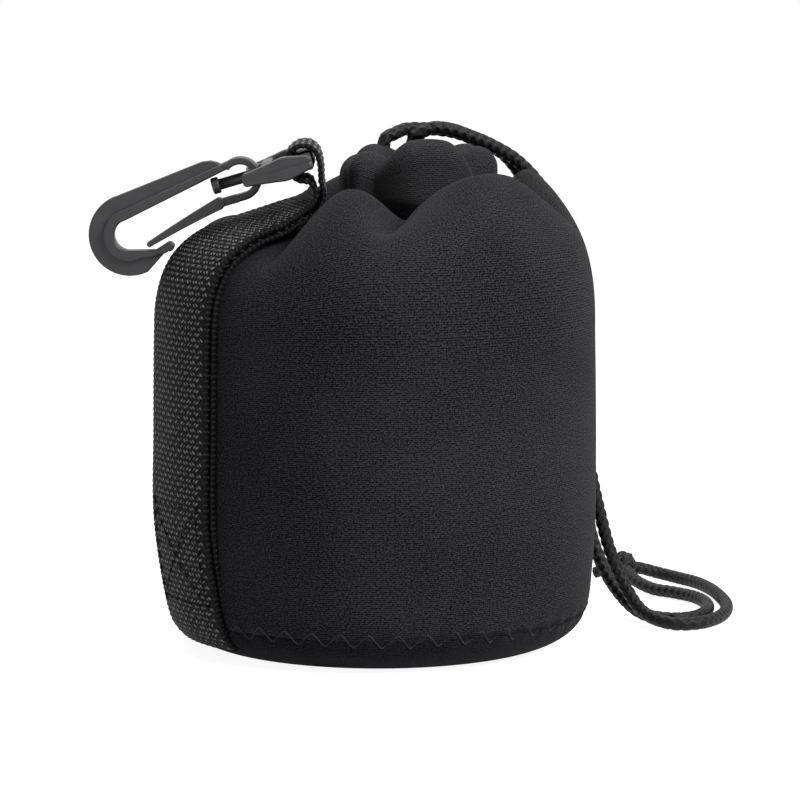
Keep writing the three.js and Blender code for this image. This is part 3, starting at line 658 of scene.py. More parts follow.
class ThreadTree:
    """A node tree that lays thread along a path, as one run or as separate stitches."""

    SECTION_SIDES = 8
    STITCH_RINGS = 6

    def __init__(self, name: str, material: Material, stitched: bool) -> None:
        """Builds the tree.

        Args:
            name: the tree's name.
            material: the thread's finish.
            stitched: separate stitches where true, one continuous thread where false.
        """
        tree = bpy.data.node_groups.new(name, "GeometryNodeTree")
        face = tree.interface
        face.new_socket("Path", in_out="INPUT", socket_type="NodeSocketGeometry")
        self.inputs = {
            label: face.new_socket(label, in_out="INPUT", socket_type="NodeSocketFloat").identifier
            for label in ("Pitch", "Length", "Thickness")
        }
        face.new_socket("Thread", in_out="OUTPUT", socket_type="NodeSocketGeometry")
        self.bench = bench = NodeBench(tree)
        given = bench.add("NodeGroupInput")
        curve = bench.out("GeometryNodeMeshToCurve", {"Mesh": given.outputs["Path"]})
        half = bench.math("MULTIPLY", given.outputs["Thickness"], 0.5)
        made = self._stitches(given, curve, half) if stitched else self._run(curve, half)
        for kind in ("GeometryNodeRealizeInstances", "GeometryNodeSetShadeSmooth"):
            made = bench.out(kind, {0: made})
        painted = bench.out("GeometryNodeSetMaterial", {0: made, "Material": material})
        bench.add("NodeGroupOutput", {0: painted})

    def _run(self, curve: Socket, half: Socket) -> Socket:
        """Sweeps a round section along the whole path.

        Args:
            curve: the path.
            half: half of the thread's thickness.

        Returns:
            The swept mesh.
        """
        circle = {"Resolution": self.SECTION_SIDES, "Radius": half}
        section = self.bench.out("GeometryNodeCurvePrimitiveCircle", circle)
        sweep = {"Curve": curve, "Profile Curve": section, "Fill Caps": True}
        return self.bench.out("GeometryNodeCurveToMesh", sweep)

    def _stitches(self, given: Node, curve: Socket, half: Socket) -> Socket:
        """Sets one rounded stitch at each step of the path, along it.

        Args:
            given: the tree's inputs.
            curve: the path.
            half: half of the thread's thickness.

        Returns:
            The stitches as instances.
        """
        bench = self.bench
        pitch = {"Curve": curve, "Length": given.outputs["Pitch"]}
        steps = bench.out("GeometryNodeResampleCurve", pitch, mode="LENGTH")
        ball = {"Segments": self.SECTION_SIDES, "Rings": self.STITCH_RINGS, "Radius": 1.0}
        stitch = bench.out("GeometryNodeMeshUVSphere", ball)
        reach = bench.math("MULTIPLY", given.outputs["Length"], 0.5)
        size = bench.out("ShaderNodeCombineXYZ", {"X": reach, "Y": half, "Z": half})
        shaped = bench.out("GeometryNodeTransform", {"Geometry": stitch, "Scale": size})
        tangent = bench.out("GeometryNodeInputTangent")
        turn = bench.out("FunctionNodeAlignRotationToVector", {"Vector": tangent}, axis="X")
        placed = {"Points": steps, "Instance": shaped, "Rotation": turn}
        return bench.out("GeometryNodeInstanceOnPoints", placed)

    def sew(self, name: str, paths: Sequence[Points], closed: bool, **sizes: float) -> Piece:
        """Sews along paths and makes one plain mesh.

        Args:
            name: the piece's name.
            paths: polylines in millimetres.
            closed: whether each path closes on itself.
            sizes: Pitch, Length and Thickness in millimetres.

        Returns:
            The finished piece.
        """
        points, edges = [], []
        for path in paths:
            start, count = len(points), len(path)
            points += (np.asarray(path) * MM).tolist()
            edges += [(start + i, start + i + 1) for i in range(count - 1)]
            if closed:
                edges.append((start + count - 1, start))
        mesh = bpy.data.meshes.new(name + "_path")
        mesh.from_pydata(points, edges, [])
        guide = link_piece(name + "_path", mesh)
        modifier = guide.modifiers.new("thread", "NODES")
        modifier.node_group = self.bench.tree
        for label, value in sizes.items():
            modifier[self.inputs[label]] = value * MM
        depsgraph = bpy.context.evaluated_depsgraph_get()
        made = bpy.data.meshes.new_from_object(guide.evaluated_get(depsgraph))
        bpy.data.objects.remove(guide)
        bpy.data.meshes.remove(mesh)
        made.name = name
        return link_piece(name, made)


# The pouch's shape, in millimetres


@dataclass(frozen=True)
class Fold:
    """One crease of the gathers and the lobe that follows it."""

    angle: float
    fold: float
    lobe: float


@dataclass
class PouchForm:
    """The sleeve and the hem as surfaces, with the CAD model's sizes."""

    wall_radius: float = 39.5
    neoprene: float = 4.0
    wall_bulge: float = 0.3
    seam_height: float = 6.4
    edge_width: float = 10.8
    edge_height: float = 8.0
    foot_taper: float = 1.2
    taper_height: float = 24.0
    shoulder_start: float = 58.0
    crest_height: float = 88.5
    valley_height: float = 77.0
    shoulder_power: float = 2.6
    gather_depth: float = 14.0
    sewn_gap: float = 0.3
    neck_radius: float = 14.5
    neck_height: float = 78.5
    neck_dip_radius: float = 26.0
    neck_offset: Pair = (5.2, -3.0)
    neck_lean: float = 1.3
    lobe_roundness: float = 0.55
    crease_softness: float = 0.2
    strap_angle: float = 180.0
    flat_reach: float = 22.0
    full_reach: float = 60.0
    shoulder_fullness: float = 0.73
    hem_radius: float = 10.4
    hem_wave: float = 1.4
    hem_height: float = 11.2
    hem_rise: float = 1.0
    roll_angle: float = 255.0
    roll_level: float = 16.0
    roll_reach: float = 44.0
    roll_rise: float = 1.8
    hem_layer: float = 1.9
    hem_slit: float = 0.3
    hem_belly: float = 3.4
    hem_fold_sharpness: float = 1.1
    channel_half: float = 2.0
    cord_level: float = 5.4
    folds: tuple[Fold, ...] = (
        Fold(150, 0, 0), Fold(204, -0.2, 0.78), Fold(240, 0.05, 1), Fold(322, 0.26, 0.93),
        Fold(366, 0.19, 1), Fold(412, 0.12, 0.8), Fold(460, -0.1, 0.1),
    )
    hem_folds: tuple[Fold, ...] = (
        Fold(150, 0, 0), Fold(178, 0, 0.7), Fold(208, 0, 1), Fold(299, 0, 1),
        Fold(342, 0, 1), Fold(386, 0, 1), Fold(432, 0, 0.9), Fold(480, 0, 0.2),
    )

    def gather(self, folds: Sequence[Fold], angle: Values) -> tuple[Values, Values, Values]:
        """Finds the folds on either side of each angle.

        Args:
            folds: the creases in order, over one turn.
            angle: angles in degrees.

        Returns:
            The crease's height, the lobe's height, and the phase from one crease to the next.
        """
        first = folds[0].angle
        turned = (np.asarray(angle, float) - first) % FULL_TURN + first
        edges = np.array([f.angle for f in folds] + [first + FULL_TURN])
        index = np.clip(np.searchsorted(edges, turned, side="right") - 1, 0, len(folds) - 1)
        phase = (turned - edges[index]) / (edges[index + 1] - edges[index])
        heights = np.array([f.fold for f in folds] + [folds[0].fold])
        lobes = np.array([f.lobe for f in folds])
        return mix(heights[index], heights[index + 1], phase), lobes[index], phase

    def lobe(self, angle: Values, radius: Values) -> Values:
        """How full the shoulder stands.

        Args:
            angle: angles in degrees.
            radius: distances from the middle of the sleeve.

        Returns:
            0 at the valley's floor to 1 at the fullest crest.
        """
        crease, lobe, phase = self.gather(self.folds, angle)
        soft = self.crease_softness
        swell = (np.hypot(np.sin(math.pi * phase), soft) - soft) / (math.hypot(1.0, soft) - soft)
        gathered = mix(crease, lobe, swell**self.lobe_roundness)
        half = FULL_TURN / 2
        from_strap = np.abs((np.asarray(angle) - self.strap_angle + half) % FULL_TURN - half)
        shoulder = self.shoulder_fullness * smoothstep(from_strap, self.flat_reach, self.full_reach)
        return mix(shoulder, gathered, smoothstep(self.wall_radius - radius, 0.0, self.gather_depth))

    def edge_radius(self, height: Values) -> Values:
        """Outside of the rounded lower edge.

        Args:
            height: heights above the table.

        Returns:
            The radius at each height.
        """
        below = np.maximum(0.0, 1.0 - np.asarray(height) / self.edge_height)
        taper = self.foot_taper * (1.0 - smoothstep(height, 0.0, self.taper_height))
        return self.wall_radius - taper - self.edge_width * (1.0 - np.sqrt(1.0 - below**2))

    def wall_profile(self, steps: int, gap: float) -> Points:
        """Profile of the straight wall.

        Args:
            steps: number of steps up it.
            gap: how far above the base seam it starts.

        Returns:
            Radius and height, from the foot up.
        """
        t = np.linspace(0.0, 1.0, steps + 1)
        height = mix(self.seam_height + gap, self.shoulder_start - self.sewn_gap, t)
        return np.column_stack([self.edge_radius(height) + self.wall_bulge * np.sin(math.pi * t), height])

    def shoulder_profile(self, angle: float, steps: int) -> Points:
        """Profile of the shoulder and down to the neck.

        Args:
            angle: where round the pouch, in degrees.
            steps: number of steps over it.

        Returns:
            Radius and height, from the wall inwards.
        """
        turn = np.linspace(0.0, math.pi / 2, steps + 1)
        inward = np.maximum(0.0, np.cos(turn)) ** (2 / self.shoulder_power)
        upward = np.sin(turn) ** (2 / self.shoulder_power)
        radius = mix(self.neck_radius, self.wall_radius, inward)
        top = mix(self.valley_height, self.crest_height, self.lobe(np.full_like(radius, angle), radius))
        height = mix(self.shoulder_start, top, upward)
        dip = 1.0 - smoothstep(radius, self.neck_radius, self.neck_dip_radius)
        return np.column_stack([radius, mix(height, self.neck_height, dip)])

    @staticmethod
    def offset(profile: Points, distance: float) -> Points:
        """Moves a profile square to itself.

        Args:
            profile: radius and height.
            distance: how far, outwards where positive.

        Returns:
            The moved profile.
        """
        along = np.empty_like(profile)
        along[1:-1] = profile[2:] - profile[:-2]
        along[0], along[-1] = profile[1] - profile[0], profile[-1] - profile[-2]
        along /= np.linalg.norm(along, axis=1)[:, None]
        return profile + distance * np.column_stack([along[:, 1], -along[:, 0]])

    @staticmethod
    def turned(angle: float, middle: tuple[Values | float, Values | float], profile: Points) -> Points:
        """Stands a profile up in space.

        Args:
            angle: the way that it faces, in degrees.
            middle: where the axis lies at each of its points.
            profile: radius and height.

        Returns:
            The points.
        """
        turn = math.radians(angle)
        x = middle[0] + profile[:, 0] * math.cos(turn)
        y = middle[1] + profile[:, 0] * math.sin(turn)
        return np.column_stack([x, y, profile[:, 1]])

    def drawn(self, angle: float, profile: Points, drawn_radius: Values | None = None) -> Points:
        """Stands a profile of the sleeve up, with its middle moved sideways as the sleeve draws in.

        Args:
            angle: where round the pouch, in degrees.
            profile: radius and height.
            drawn_radius: the radius that says how far the sleeve is drawn in, where it isn't the profile's.

        Returns:
            The points in space.
        """
        reference = profile[:, 0] if drawn_radius is None else drawn_radius
        share = np.clip((self.wall_radius - reference) / (self.wall_radius - self.neck_radius), 0.0, 1.0)
        shift = share**self.neck_lean
        return self.turned(angle, (self.neck_offset[0] * shift, self.neck_offset[1] * shift), profile)

    def hem_sway(self, angle: Values) -> Values:
        """From 1, pressed in at a fold of the hem, to -1, swelled out over a full lobe."""
        _, lobe, phase = self.gather(self.hem_folds, angle)
        return 1.0 - 2.0 * lobe * np.sin(math.pi * phase) ** self.hem_fold_sharpness

    def hem_top(self, angle: float) -> float:
        """Height of the hem's folded edge above its foot."""
        roll = 1.0 - smoothstep(abs(angle - self.roll_angle), self.roll_level, self.roll_reach)
        return float(self.hem_height - self.hem_rise * self.hem_sway(np.array(angle)) + self.roll_rise * roll)

    def hem_point(self, angle: float, across: Values | float, height: Values | float) -> Points:
        """Points of the hem at one angle.

        Args:
            angle: where round the neck, in degrees.
            across: distances across the strip, outwards from its middle.
            height: heights above its foot.

        Returns:
            The points in space.
        """
        across, height = np.atleast_1d(across), np.atleast_1d(height)
        radius = self.hem_radius - self.hem_wave * float(self.hem_sway(np.array(angle))) + across
        foot = self.neck_height + self.sewn_gap
        return self.turned(angle, self.neck_offset, np.column_stack([radius, foot + height]))


# Sub-assemblies


@dataclass(frozen=True)
class Lamp:
    """A square soft lamp, placed across, behind and above as the camera sees it, in metres and watts."""

    name: str
    place: Triple
    side: float
    power: float


@dataclass
class Studio:
    """Camera, floor, lamps and surroundings, in metres."""

    azimuth: float = -30.0
    distance: float = 0.700
    height: float = 0.130
    target_across: float = 0.00385
    target_height: float = 0.0444
    pixels_per_metre: float = 5460.0
    sensor: float = 36.0
    clip: Pair = (0.01, 50.0)
    floor_side: float = 6.0
    floor_grey: float = 0.5
    floor_roughness: float = 0.9
    floor_glow: float = 0.92
    ambient: float = 0.2
    backdrop: float = 1.0
    aim_height: float = 0.05
    lamps: tuple[Lamp, ...] = (
        Lamp("key_lamp", (0.56, -0.45, 0.65), 0.45, 7.8),
        Lamp("top_lamp", (-0.15, 0.30, 0.95), 0.6, 4.2),
    )

    @staticmethod
    def hang(data: bpy.types.ID, place: Vector, target: Vector) -> Piece:
        """Hangs a camera or a lamp in the scene.

        Args:
            data: the camera or the lamp.
            place: where it hangs.
            target: what it looks at.

        Returns:
            The new object.
        """
        hung = bpy.data.objects.new(data.name, data)
        hung.location = place
        hung.rotation_euler = (target - place).to_track_quat("-Z", "Y").to_euler()
        bpy.context.scene.collection.objects.link(hung)
        return hung

    def camera(self) -> None:
        """Sets the camera at the photograph's viewing angle."""
        turn = math.radians(self.azimuth)
        eye = Vector((math.sin(turn) * self.distance, -math.cos(turn) * self.distance, self.height))
        across = Vector((math.cos(turn), math.sin(turn), 0.0))
        target = across * self.target_across + Vector((0.0, 0.0, self.target_height))
        data = bpy.data.cameras.new("camera")
        data.sensor_width = self.sensor
        data.lens = self.pixels_per_metre * (target - eye).length / IMAGE_SIDE * self.sensor
        data.clip_start, data.clip_end = self.clip
        bpy.context.scene.camera = self.hang(data, eye, target)

    def floor(self) -> None:
        """Lays a pale floor that stays white to the camera but takes the object's shadow."""
        half = self.floor_side / 2
        mesh = bpy.data.meshes.new("floor")
        mesh.from_pydata(
            [(-half, -half, 0), (half, -half, 0), (half, half, 0), (-half, half, 0)], [], [(0, 1, 2, 3)]
        )
        floor = link_piece("floor", mesh)
        bench = ShaderBench("pale_floor")
        grey = (self.floor_grey, self.floor_grey, self.floor_grey, 1.0)
        bench.set(Base_Color=grey, Roughness=self.floor_roughness, Specular_IOR_Level=0.0)
        strength = bench.math("MULTIPLY", bench.straight_rays(), self.floor_glow)
        glow = bench.out("ShaderNodeEmission", {"Strength": strength})
        both = bench.out("ShaderNodeAddShader", {0: bench.shader.outputs[0], 1: glow})
        bench.feed(bench.output.inputs["Surface"], both)
        mesh.materials.append(bench.material)

    def surroundings(self) -> None:
        """Makes a white backdrop that lights the object at a plain level."""
        world = bpy.data.worlds.new("studio")
        bpy.context.scene.world = world
        world.use_nodes = True
        bench = NodeBench(world.node_tree)
        lit, seen = (
            bench.out("ShaderNodeBackground", {"Color": (1.0, 1.0, 1.0, 1.0), "Strength": strength})
            for strength in (self.ambient, self.backdrop)
        )
        blend = bench.out("ShaderNodeMixShader", {"Fac": bench.straight_rays(), 1: lit, 2: seen})
        bench.add("ShaderNodeOutputWorld", {"Surface": blend})

    def light(self, lamp: Lamp) -> None:
        """Hangs a lamp and aims it at the pouch.

        Args:
            lamp: the lamp.
        """
        turn = math.radians(self.azimuth)
        across = Vector((math.cos(turn), math.sin(turn), 0.0))
        behind = Vector((-math.sin(turn), math.cos(turn), 0.0))
        data = bpy.data.lights.new(lamp.name, "AREA")
        data.size = lamp.side
        data.energy = lamp.power
        place = across * lamp.place[0] + behind * lamp.place[1] + Vector((0.0, 0.0, lamp.place[2]))
        self.hang(data, place, Vector((0.0, 0.0, self.aim_height)))

    def build(self) -> None:
        """Sets up the floor, the surroundings and the lamps."""
        bpy.context.scene.view_settings.view_transform = "Standard"
        self.floor()
        self.surroundings()
        for lamp in self.lamps:
            self.light(lamp)


@dataclass
class Drawcord:
    """The cord in the hem, its two free ends and the knot that joins them."""

    form: PouchForm
    finish: Material
    diameter: float = 2.5
    braid_depth: float = 0.2
    braid_fullness: float = 0.7
    chevron: float = 1.8
    strands: int = 8
    around: int = 28
    step: float = 0.26
    drape_turn: float = -30.0
    long_eyelet: float = 58.0
    short_eyelet: float = 86.0
    hem_stop: float = 17.0
    hem_samples: int = 240
    knot_centre: Triple = (48.6, 60.0, 3.7)
    knot_radius: float = 3.4
    knot_cord_share: float = 0.46
    knot_winds: int = 2
    knot_lobes: int = 3
    knot_level: float = 0.62
    knot_swing: float = 0.38
    knot_rise: float = 0.72
    knot_samples: int = 160
    tail_headings: tuple[Triple, ...] = ((-1.0, 0.5, -0.35), (-0.7, 1.0, -0.3))
    tail_reach: Pair = (0.4, 6.2)
    tail_samples: int = 30
    tail_clearance: float = 0.12
    long_route: tuple[Triple, ...] = (
        (7.3, 10.4, 92.4), (9.6, 10.6, 93.6), (13.0, 11.4, 93.4), (17.0, 12.8, 92.0), (21.0, 14.8, 90.2),
        (26.0, 17.6, 87.0), (30.6, 19.9, 81.8), (33.6, 21.4, 75.0), (35.0, 22.2, 68.0), (35.6, 22.6, 60.0),
        (36.2, 22.4, 50.0), (37.6, 21.4, 40.0), (39.6, 20.2, 30.0), (41.6, 19.4, 21.0), (43.8, 18.8, 13.0),
        (46.4, 17.2, 7.0), (49.0, 13.8, 3.2), (52.0, 9.6, 1.8), (55.4, 7.4, 1.4), (59.2, 8.0, 1.4),
        (62.8, 12.2, 1.4), (65.4, 19.0, 1.4), (66.6, 28.0, 1.4), (66.2, 37.0, 1.4), (65.0, 46.0, 1.4),
        (62.8, 53.6, 1.4), (59.6, 59.2, 1.4), (55.8, 61.6, 2.0), (52.4, 61.5, 2.9), (50.0, 60.7, 3.4),
    )
    short_route: tuple[Triple, ...] = (
        (3.0, 10.8, 92.6), (4.8, 12.4, 93.3), (9.0, 14.0, 93.3), (14.0, 15.6, 92.6), (18.6, 17.4, 90.8),
        (23.4, 19.8, 88.2), (28.0, 23.2, 82.0), (31.2, 25.2, 75.0), (32.6, 26.2, 68.0), (33.2, 26.8, 60.0),
        (33.8, 26.8, 50.0), (35.2, 26.4, 40.0), (37.2, 26.0, 30.0), (39.2, 25.8, 21.0), (41.0, 25.2, 13.6),
        (43.4, 23.8, 8.0), (46.4, 20.8, 3.9), (49.4, 17.2, 1.8), (52.6, 14.2, 1.4), (55.8, 12.8, 1.4),
        (59.0, 14.4, 1.4), (61.4, 18.6, 1.4), (62.8, 25.0, 1.4), (62.6, 31.6, 1.4), (60.8, 37.4, 1.4),
        (57.4, 42.0, 1.4), (53.8, 46.0, 1.4), (50.8, 50.8, 2.2), (49.2, 55.8, 3.3), (48.9, 58.2, 3.6),
    )

    def draped(self, points: Sequence[Triple]) -> Points:
        """Turns points into the part's frame.

        Args:
            points: points given across, behind and above as the camera sees them.

        Returns:
            The same points in the part's frame.
        """
        turn = math.radians(self.drape_turn)
        p = np.array(points, float)
        x = math.cos(turn) * p[:, 0] - math.sin(turn) * p[:, 1]
        y = math.sin(turn) * p[:, 0] + math.cos(turn) * p[:, 1]
        return np.column_stack([x, y, p[:, 2]])

    def braid(self, turn: Values, length: Values) -> Values:
        """Depth of the braid's grooves below the cord's outside.

        Args:
            turn: angles round the cord, in radians.
            length: lengths along it.

        Returns:
            The depth at each place.
        """
        wave = ROUND * length / self.chevron
        rising, falling = (np.cos(self.strands / 2 * turn + way * wave) for way in (1, -1))
        ridge = np.clip(np.maximum(rising, falling), 0.0, 1.0)
        return self.braid_depth * (1.0 - ridge**self.braid_fullness)

    def tube(self, name: str, path: Points) -> Piece:
        """Makes one braided stretch along a path."""
        points, faces, relief, cloth = tube_mesh(path, self.diameter / 2, self.around, self.braid)
        return make_piece(name, points, faces, self.finish, cloth, relief)

    def free_end(self, name: str, node: str, eyelet: float, route: Sequence[Triple]) -> None:
        """Args:
            name: the piece's name.
            node: the solid that it stands for.
            eyelet: where round the hem it comes out, in degrees.
            route: points of its middle line after that, across, behind and above.
        """
        top = self.form.hem_top(eyelet)
        heights = np.array([self.form.cord_level, top + self.diameter / 2])
        start = self.form.hem_point(eyelet, np.zeros(2), heights)
        path = smooth_route(np.vstack([start, self.draped(route)]), self.step)
        piece = settle(self.tube(name, path), Body.POUCH, Slot.CORD, node)
        tuple(self.form.hem_point(eyelet, 0.0, top)[0] * MM)

    def hem_stretch(self) -> None:
        """Makes the stretch that lies inside the hem."""
        start, end = self.short_eyelet + self.hem_stop, self.long_eyelet - self.hem_stop + FULL_TURN
        angles = np.linspace(start, end, self.hem_samples)
        path = np.vstack([self.form.hem_point(a, 0.0, self.form.cord_level) for a in angles])
        piece = self.tube("hem_cord", even_steps(path, self.step))
        settle(piece, Body.POUCH, Slot.CORD, "hem_drawcord")

    def knot(self) -> None:
        """Ties the two ends in an overhand knot with two short tails."""
        centre = self.draped([self.knot_centre])[0]
        wrap = self.diameter * self.knot_cord_share
        reach = self.knot_radius - wrap
        turn = np.linspace(0.0, ROUND, self.knot_samples)
        wind, lobes = self.knot_winds * turn, self.knot_lobes * turn
        ring = reach * (self.knot_level + self.knot_swing * np.cos(lobes))
        rise = self.knot_rise * reach * np.sin(lobes)
        lines = [centre + np.column_stack([ring * np.cos(wind), ring * np.sin(wind), rise])]
        for heading in self.draped(self.tail_headings):
            places = np.linspace(*self.tail_reach, self.tail_samples)
            tail = centre + np.outer(places, heading / np.linalg.norm(heading))
            tail[:, 2] = np.maximum(tail[:, 2], wrap + self.tail_clearance)
            lines.append(tail)
        tubes = [tube_mesh(even_steps(line, self.step), wrap, self.around, self.braid) for line in lines]
        points, faces, relief, cloth = zip(*tubes)
        starts = np.cumsum([0] + [len(own) for own in points]).tolist()
        joined = [tuple(i + start for i in face) for start, own in zip(starts, faces) for face in own]
        heights = np.concatenate(relief)
        piece = make_piece("cord_knot", np.vstack(points), joined, self.finish, np.vstack(cloth), heights)
        settle(piece, Body.POUCH, Slot.CORD, "drawcord_knot")

    def build(self) -> None:
        """Makes all of the drawcord."""
        self.free_end("cord_long_end", "drawcord_long_end", self.long_eyelet, self.long_route)
        self.free_end("cord_short_end", "drawcord_short_end", self.short_eyelet, self.short_route)
        self.hem_stretch()
        self.knot()


@dataclass
class PaddedBody:
    """Base, sleeve and hem in padded neoprene, with their seams."""

    form: PouchForm
    wall_finish: Material
    hem_finish: Material
    base_finish: Material
    seam: ThreadTree
    around: int = 376
    wall_steps: int = 48
    shoulder_steps: int = 76
    inner_share: int = 3
    sleeve_middle: float = 0.6
    butt_gap: float = 0.02
    edge_points: int = 22
    under_steps: int = 16
    hem_around: int = 360
    hem_steps: int = 16
    lining_steps: int = 8
    hem_middle: float = 0.7
    seam_low: float = 5.3
    seam_high: float = 7.9
    seam_pitch: float = 5.3
    seam_thread: float = 0.3
    seam_lift: float = 0.3
    seam_ease: float = 0.15
    seam_uneven: float = 0.3
    per_stitch: int = 16
    stitch_foot: float = 0.42
    stitch_sink: float = 0.22
    sink_start: Pair = (0.38, 0.55)
    sink_end: float = 0.12
    pucker_depth: float = 0.6
    pucker_least: float = 0.4
    pucker_reach: float = 1.7
    seed: int = 7

    def ring_cloth(self, lengths: Values, count: int) -> Points:
        """Cloth coordinates of a grid round the axis, from the length up to each of its rows."""
        return grid_cloth(np.arange(count + 1) * (ROUND * self.form.wall_radius / count), lengths)

    def ring_piece(self, name: str, columns: list[Points], measured: float, material: Material) -> Piece:
        """Skins closed sections that stand round the axis.

        Args:
            name: the piece's name.
            columns: one closed section of points for each angle.
            measured: the share of the turn at which the section gives the cloth's lengths.
            material: the finish.

        Returns:
            The finished piece.
        """
        count, rows = len(columns), len(columns[0])
        section = columns[int(count * measured)]
        lengths = lengths_along(np.vstack([section, section[:1]]))
        points = np.stack(columns, axis=1).reshape(-1, 3)
        faces = sheet_faces(rows, count, closed_rows=True)
        return make_piece(name, points, faces, material, self.ring_cloth(lengths, count))

    def sleeve(self) -> None:
        """Makes the sleeve in one piece, from the base seam over the shoulder to the neck."""
        columns = []
        for angle in np.arange(self.around) / self.around * FULL_TURN:
            wall = self.form.wall_profile(self.wall_steps, self.butt_gap)
            wall[:, 0] -= self.pucker(angle, wall[:, 1])
            outer = np.vstack([wall, self.form.shoulder_profile(angle, self.shoulder_steps)[1:]])
            inner = self.form.offset(outer, -self.form.neoprene)
            lining = self.form.drawn(angle, inner, outer[:, 0])[:: -self.inner_share]
            columns.append(np.vstack([self.form.drawn(angle, outer), lining]))
        piece = self.ring_piece("sleeve_neoprene", columns, self.sleeve_middle, self.wall_finish)
        settle(piece, Body.POUCH, Slot.WALL, "wall_sleeve", "shoulder_gathers")

    def base(self) -> None:
        """Makes the base as a shallow cup with a rounded edge."""
        form = self.form
        turn = np.linspace(0.0, math.acos(1.0 - form.seam_height / form.edge_height), self.edge_points)
        rise = form.edge_height * (1.0 - np.cos(turn))
        edge = np.column_stack([form.edge_radius(rise), rise])
        reach = np.linspace(0.0, edge[0, 0], self.under_steps + 1)[1:-1]
        outer = np.vstack([np.column_stack([reach, np.zeros_like(reach)]), edge])
        inside = form.offset(outer, -form.neoprene)
        inside[-1] = (outer[-1, 0] - form.neoprene, form.seam_height)
        profile = np.vstack([outer, inside[::-1]])
        count, rows = self.around, len(profile)
        share = np.arange(count) / count
        height = profile[:, 1:] + np.zeros((1, count))
        pulled = self.pucker(share[None, :] * FULL_TURN, height)
        pulled[len(outer):] = 0.0
        radius = profile[:, :1] - pulled
        x, y = radius * np.cos(share * ROUND), radius * np.sin(share * ROUND)
        rings = np.stack([x, y, height], axis=-1).reshape(-1, 3)
        points = np.vstack([rings, [[0.0, 0.0, 0.0], [0.0, 0.0, form.neoprene]]])
        faces = sheet_faces(rows, count) + fan_caps(rows, count)
        cloth = np.vstack([self.ring_cloth(lengths_along(profile), count), np.zeros((6 * count, 2))])
        piece = make_piece("base_neoprene", points, faces, self.base_finish, cloth)
        settle(piece, Body.POUCH, Slot.BASE, "base_panel")

    def hem_section(self, angle: float, half: float, foot: float, steps: int) -> Points:
        """One face of the turned hem.

        Args:
            angle: where round the neck, in degrees.
            half: half of its width at the fold.
            foot: half of its width at the foot.
            steps: number of points up each side.

        Returns:
            Distance across and height, from the outer foot over the fold to the inner foot.
        """
        form = self.form
        fold = form.hem_top(angle) - form.channel_half - form.hem_layer
        rise = np.linspace(0.0, 1.0, steps)
        side = np.column_stack([mix(foot, half, smoothstep(rise * fold, 0.0, form.hem_belly)), rise * fold])
        turn = np.linspace(0.0, math.pi, 2 * steps)[1:-1]
        over = np.column_stack([half * np.cos(turn), fold + half * np.sin(turn)])
        return np.vstack([side, over, side[::-1] * (-1.0, 1.0)])

    def hem(self) -> None:
        """Makes the hem as a strip turned over the cord, its two edges together at the neck."""
        form = self.form
        half, slit, layer = form.channel_half, form.hem_slit, form.hem_layer
        columns = []
        for angle in np.arange(self.hem_around) / self.hem_around * FULL_TURN:
            outer = self.hem_section(angle, half + layer, slit + layer, self.hem_steps)
            inner = self.hem_section(angle, half, slit, self.lining_steps)[::-1]
            section = np.vstack([outer, inner])
            columns.append(form.hem_point(angle, section[:, 0], section[:, 1]))
        piece = self.ring_piece("hem_neoprene", columns, self.hem_middle, self.hem_finish)
        settle(piece, Body.POUCH, Slot.HEM, "mouth_hem")

    def seam_count(self) -> int:
        """How many stitches go round the base seam."""
        return round(ROUND * self.form.wall_radius / self.seam_pitch)

    def pucker(self, angle: Values | float, height: Values) -> Values:
        """How far the seam's stitches draw the neoprene in.

        Args:
            angle: angles in degrees.
            height: heights above the table.

        Returns:
            The distance inwards.
        """
        phase = np.asarray(angle) / FULL_TURN * self.seam_count()
        pull = mix(self.pucker_least, 1.0, np.cos(math.pi * (phase - self.stitch_foot)) ** 2)
        from_seam = (height - self.form.seam_height) / self.pucker_reach
        return self.pucker_depth * pull * np.exp(-(from_seam**2))

    def base_seam(self) -> None:
        """Sews the scalloped seam that joins the sleeve to the base."""
        count, foot = self.seam_count(), self.stitch_foot
        turn = np.arange(count * self.per_stitch) / (count * self.per_stitch)
        phase = (turn * count) % 1.0
        swing = np.where(phase < foot, 1.0 - phase / foot, (phase - foot) / (1.0 - foot))
        swing = smoothstep(swing, -self.seam_ease, 1.0 + self.seam_ease)
        uneven = np.random.default_rng(self.seed).uniform(-self.seam_uneven, self.seam_uneven, count)
        height = mix(self.seam_low, self.seam_high, swing) + np.interp(turn * count, np.arange(count), uneven)
        sunk = smoothstep(phase, *self.sink_start) * smoothstep(1.0 - phase, 0.0, self.sink_end)
        drawn_in = self.stitch_sink * sunk + self.pucker(turn * FULL_TURN, height)
        reach = self.form.edge_radius(height) + self.seam_thread * self.seam_lift - drawn_in
        path = np.column_stack([reach * np.cos(turn * ROUND), reach * np.sin(turn * ROUND), height])
        piece = self.seam.sew("base_seam_thread", [path], True, Thickness=self.seam_thread)
        settle(piece, Body.POUCH, Slot.BASE)

    def build(self) -> None:
        """Makes the padded body and its seam."""
        self.base()
        self.sleeve()
        self.hem()
        self.base_seam()


@dataclass
class SwivelFrame:
    """The frame of the loop and hook: along the hook, square above it, and aside along the bar."""

    bar: Triple = (-15.5, 0.0, 88.9)
    heading: float = 150.0
    drop: float = 16.4

    def place(self, points: Points) -> Points:
        """Puts points in the part's frame.

        Args:
            points: points given along, above and aside.

        Returns:
            The same points in the part's frame.
        """
        turn, fall = math.radians(self.heading), math.radians(self.drop)
        level = math.cos(fall)
        along = np.array([math.cos(turn) * level, math.sin(turn) * level, -math.sin(fall)])
        aside = np.array([-math.sin(turn), math.cos(turn), 0.0])
        above = np.cross(along, aside)
        return np.array(self.bar) + points[:, :1] * along + points[:, 1:2] * above + points[:, 2:3] * aside


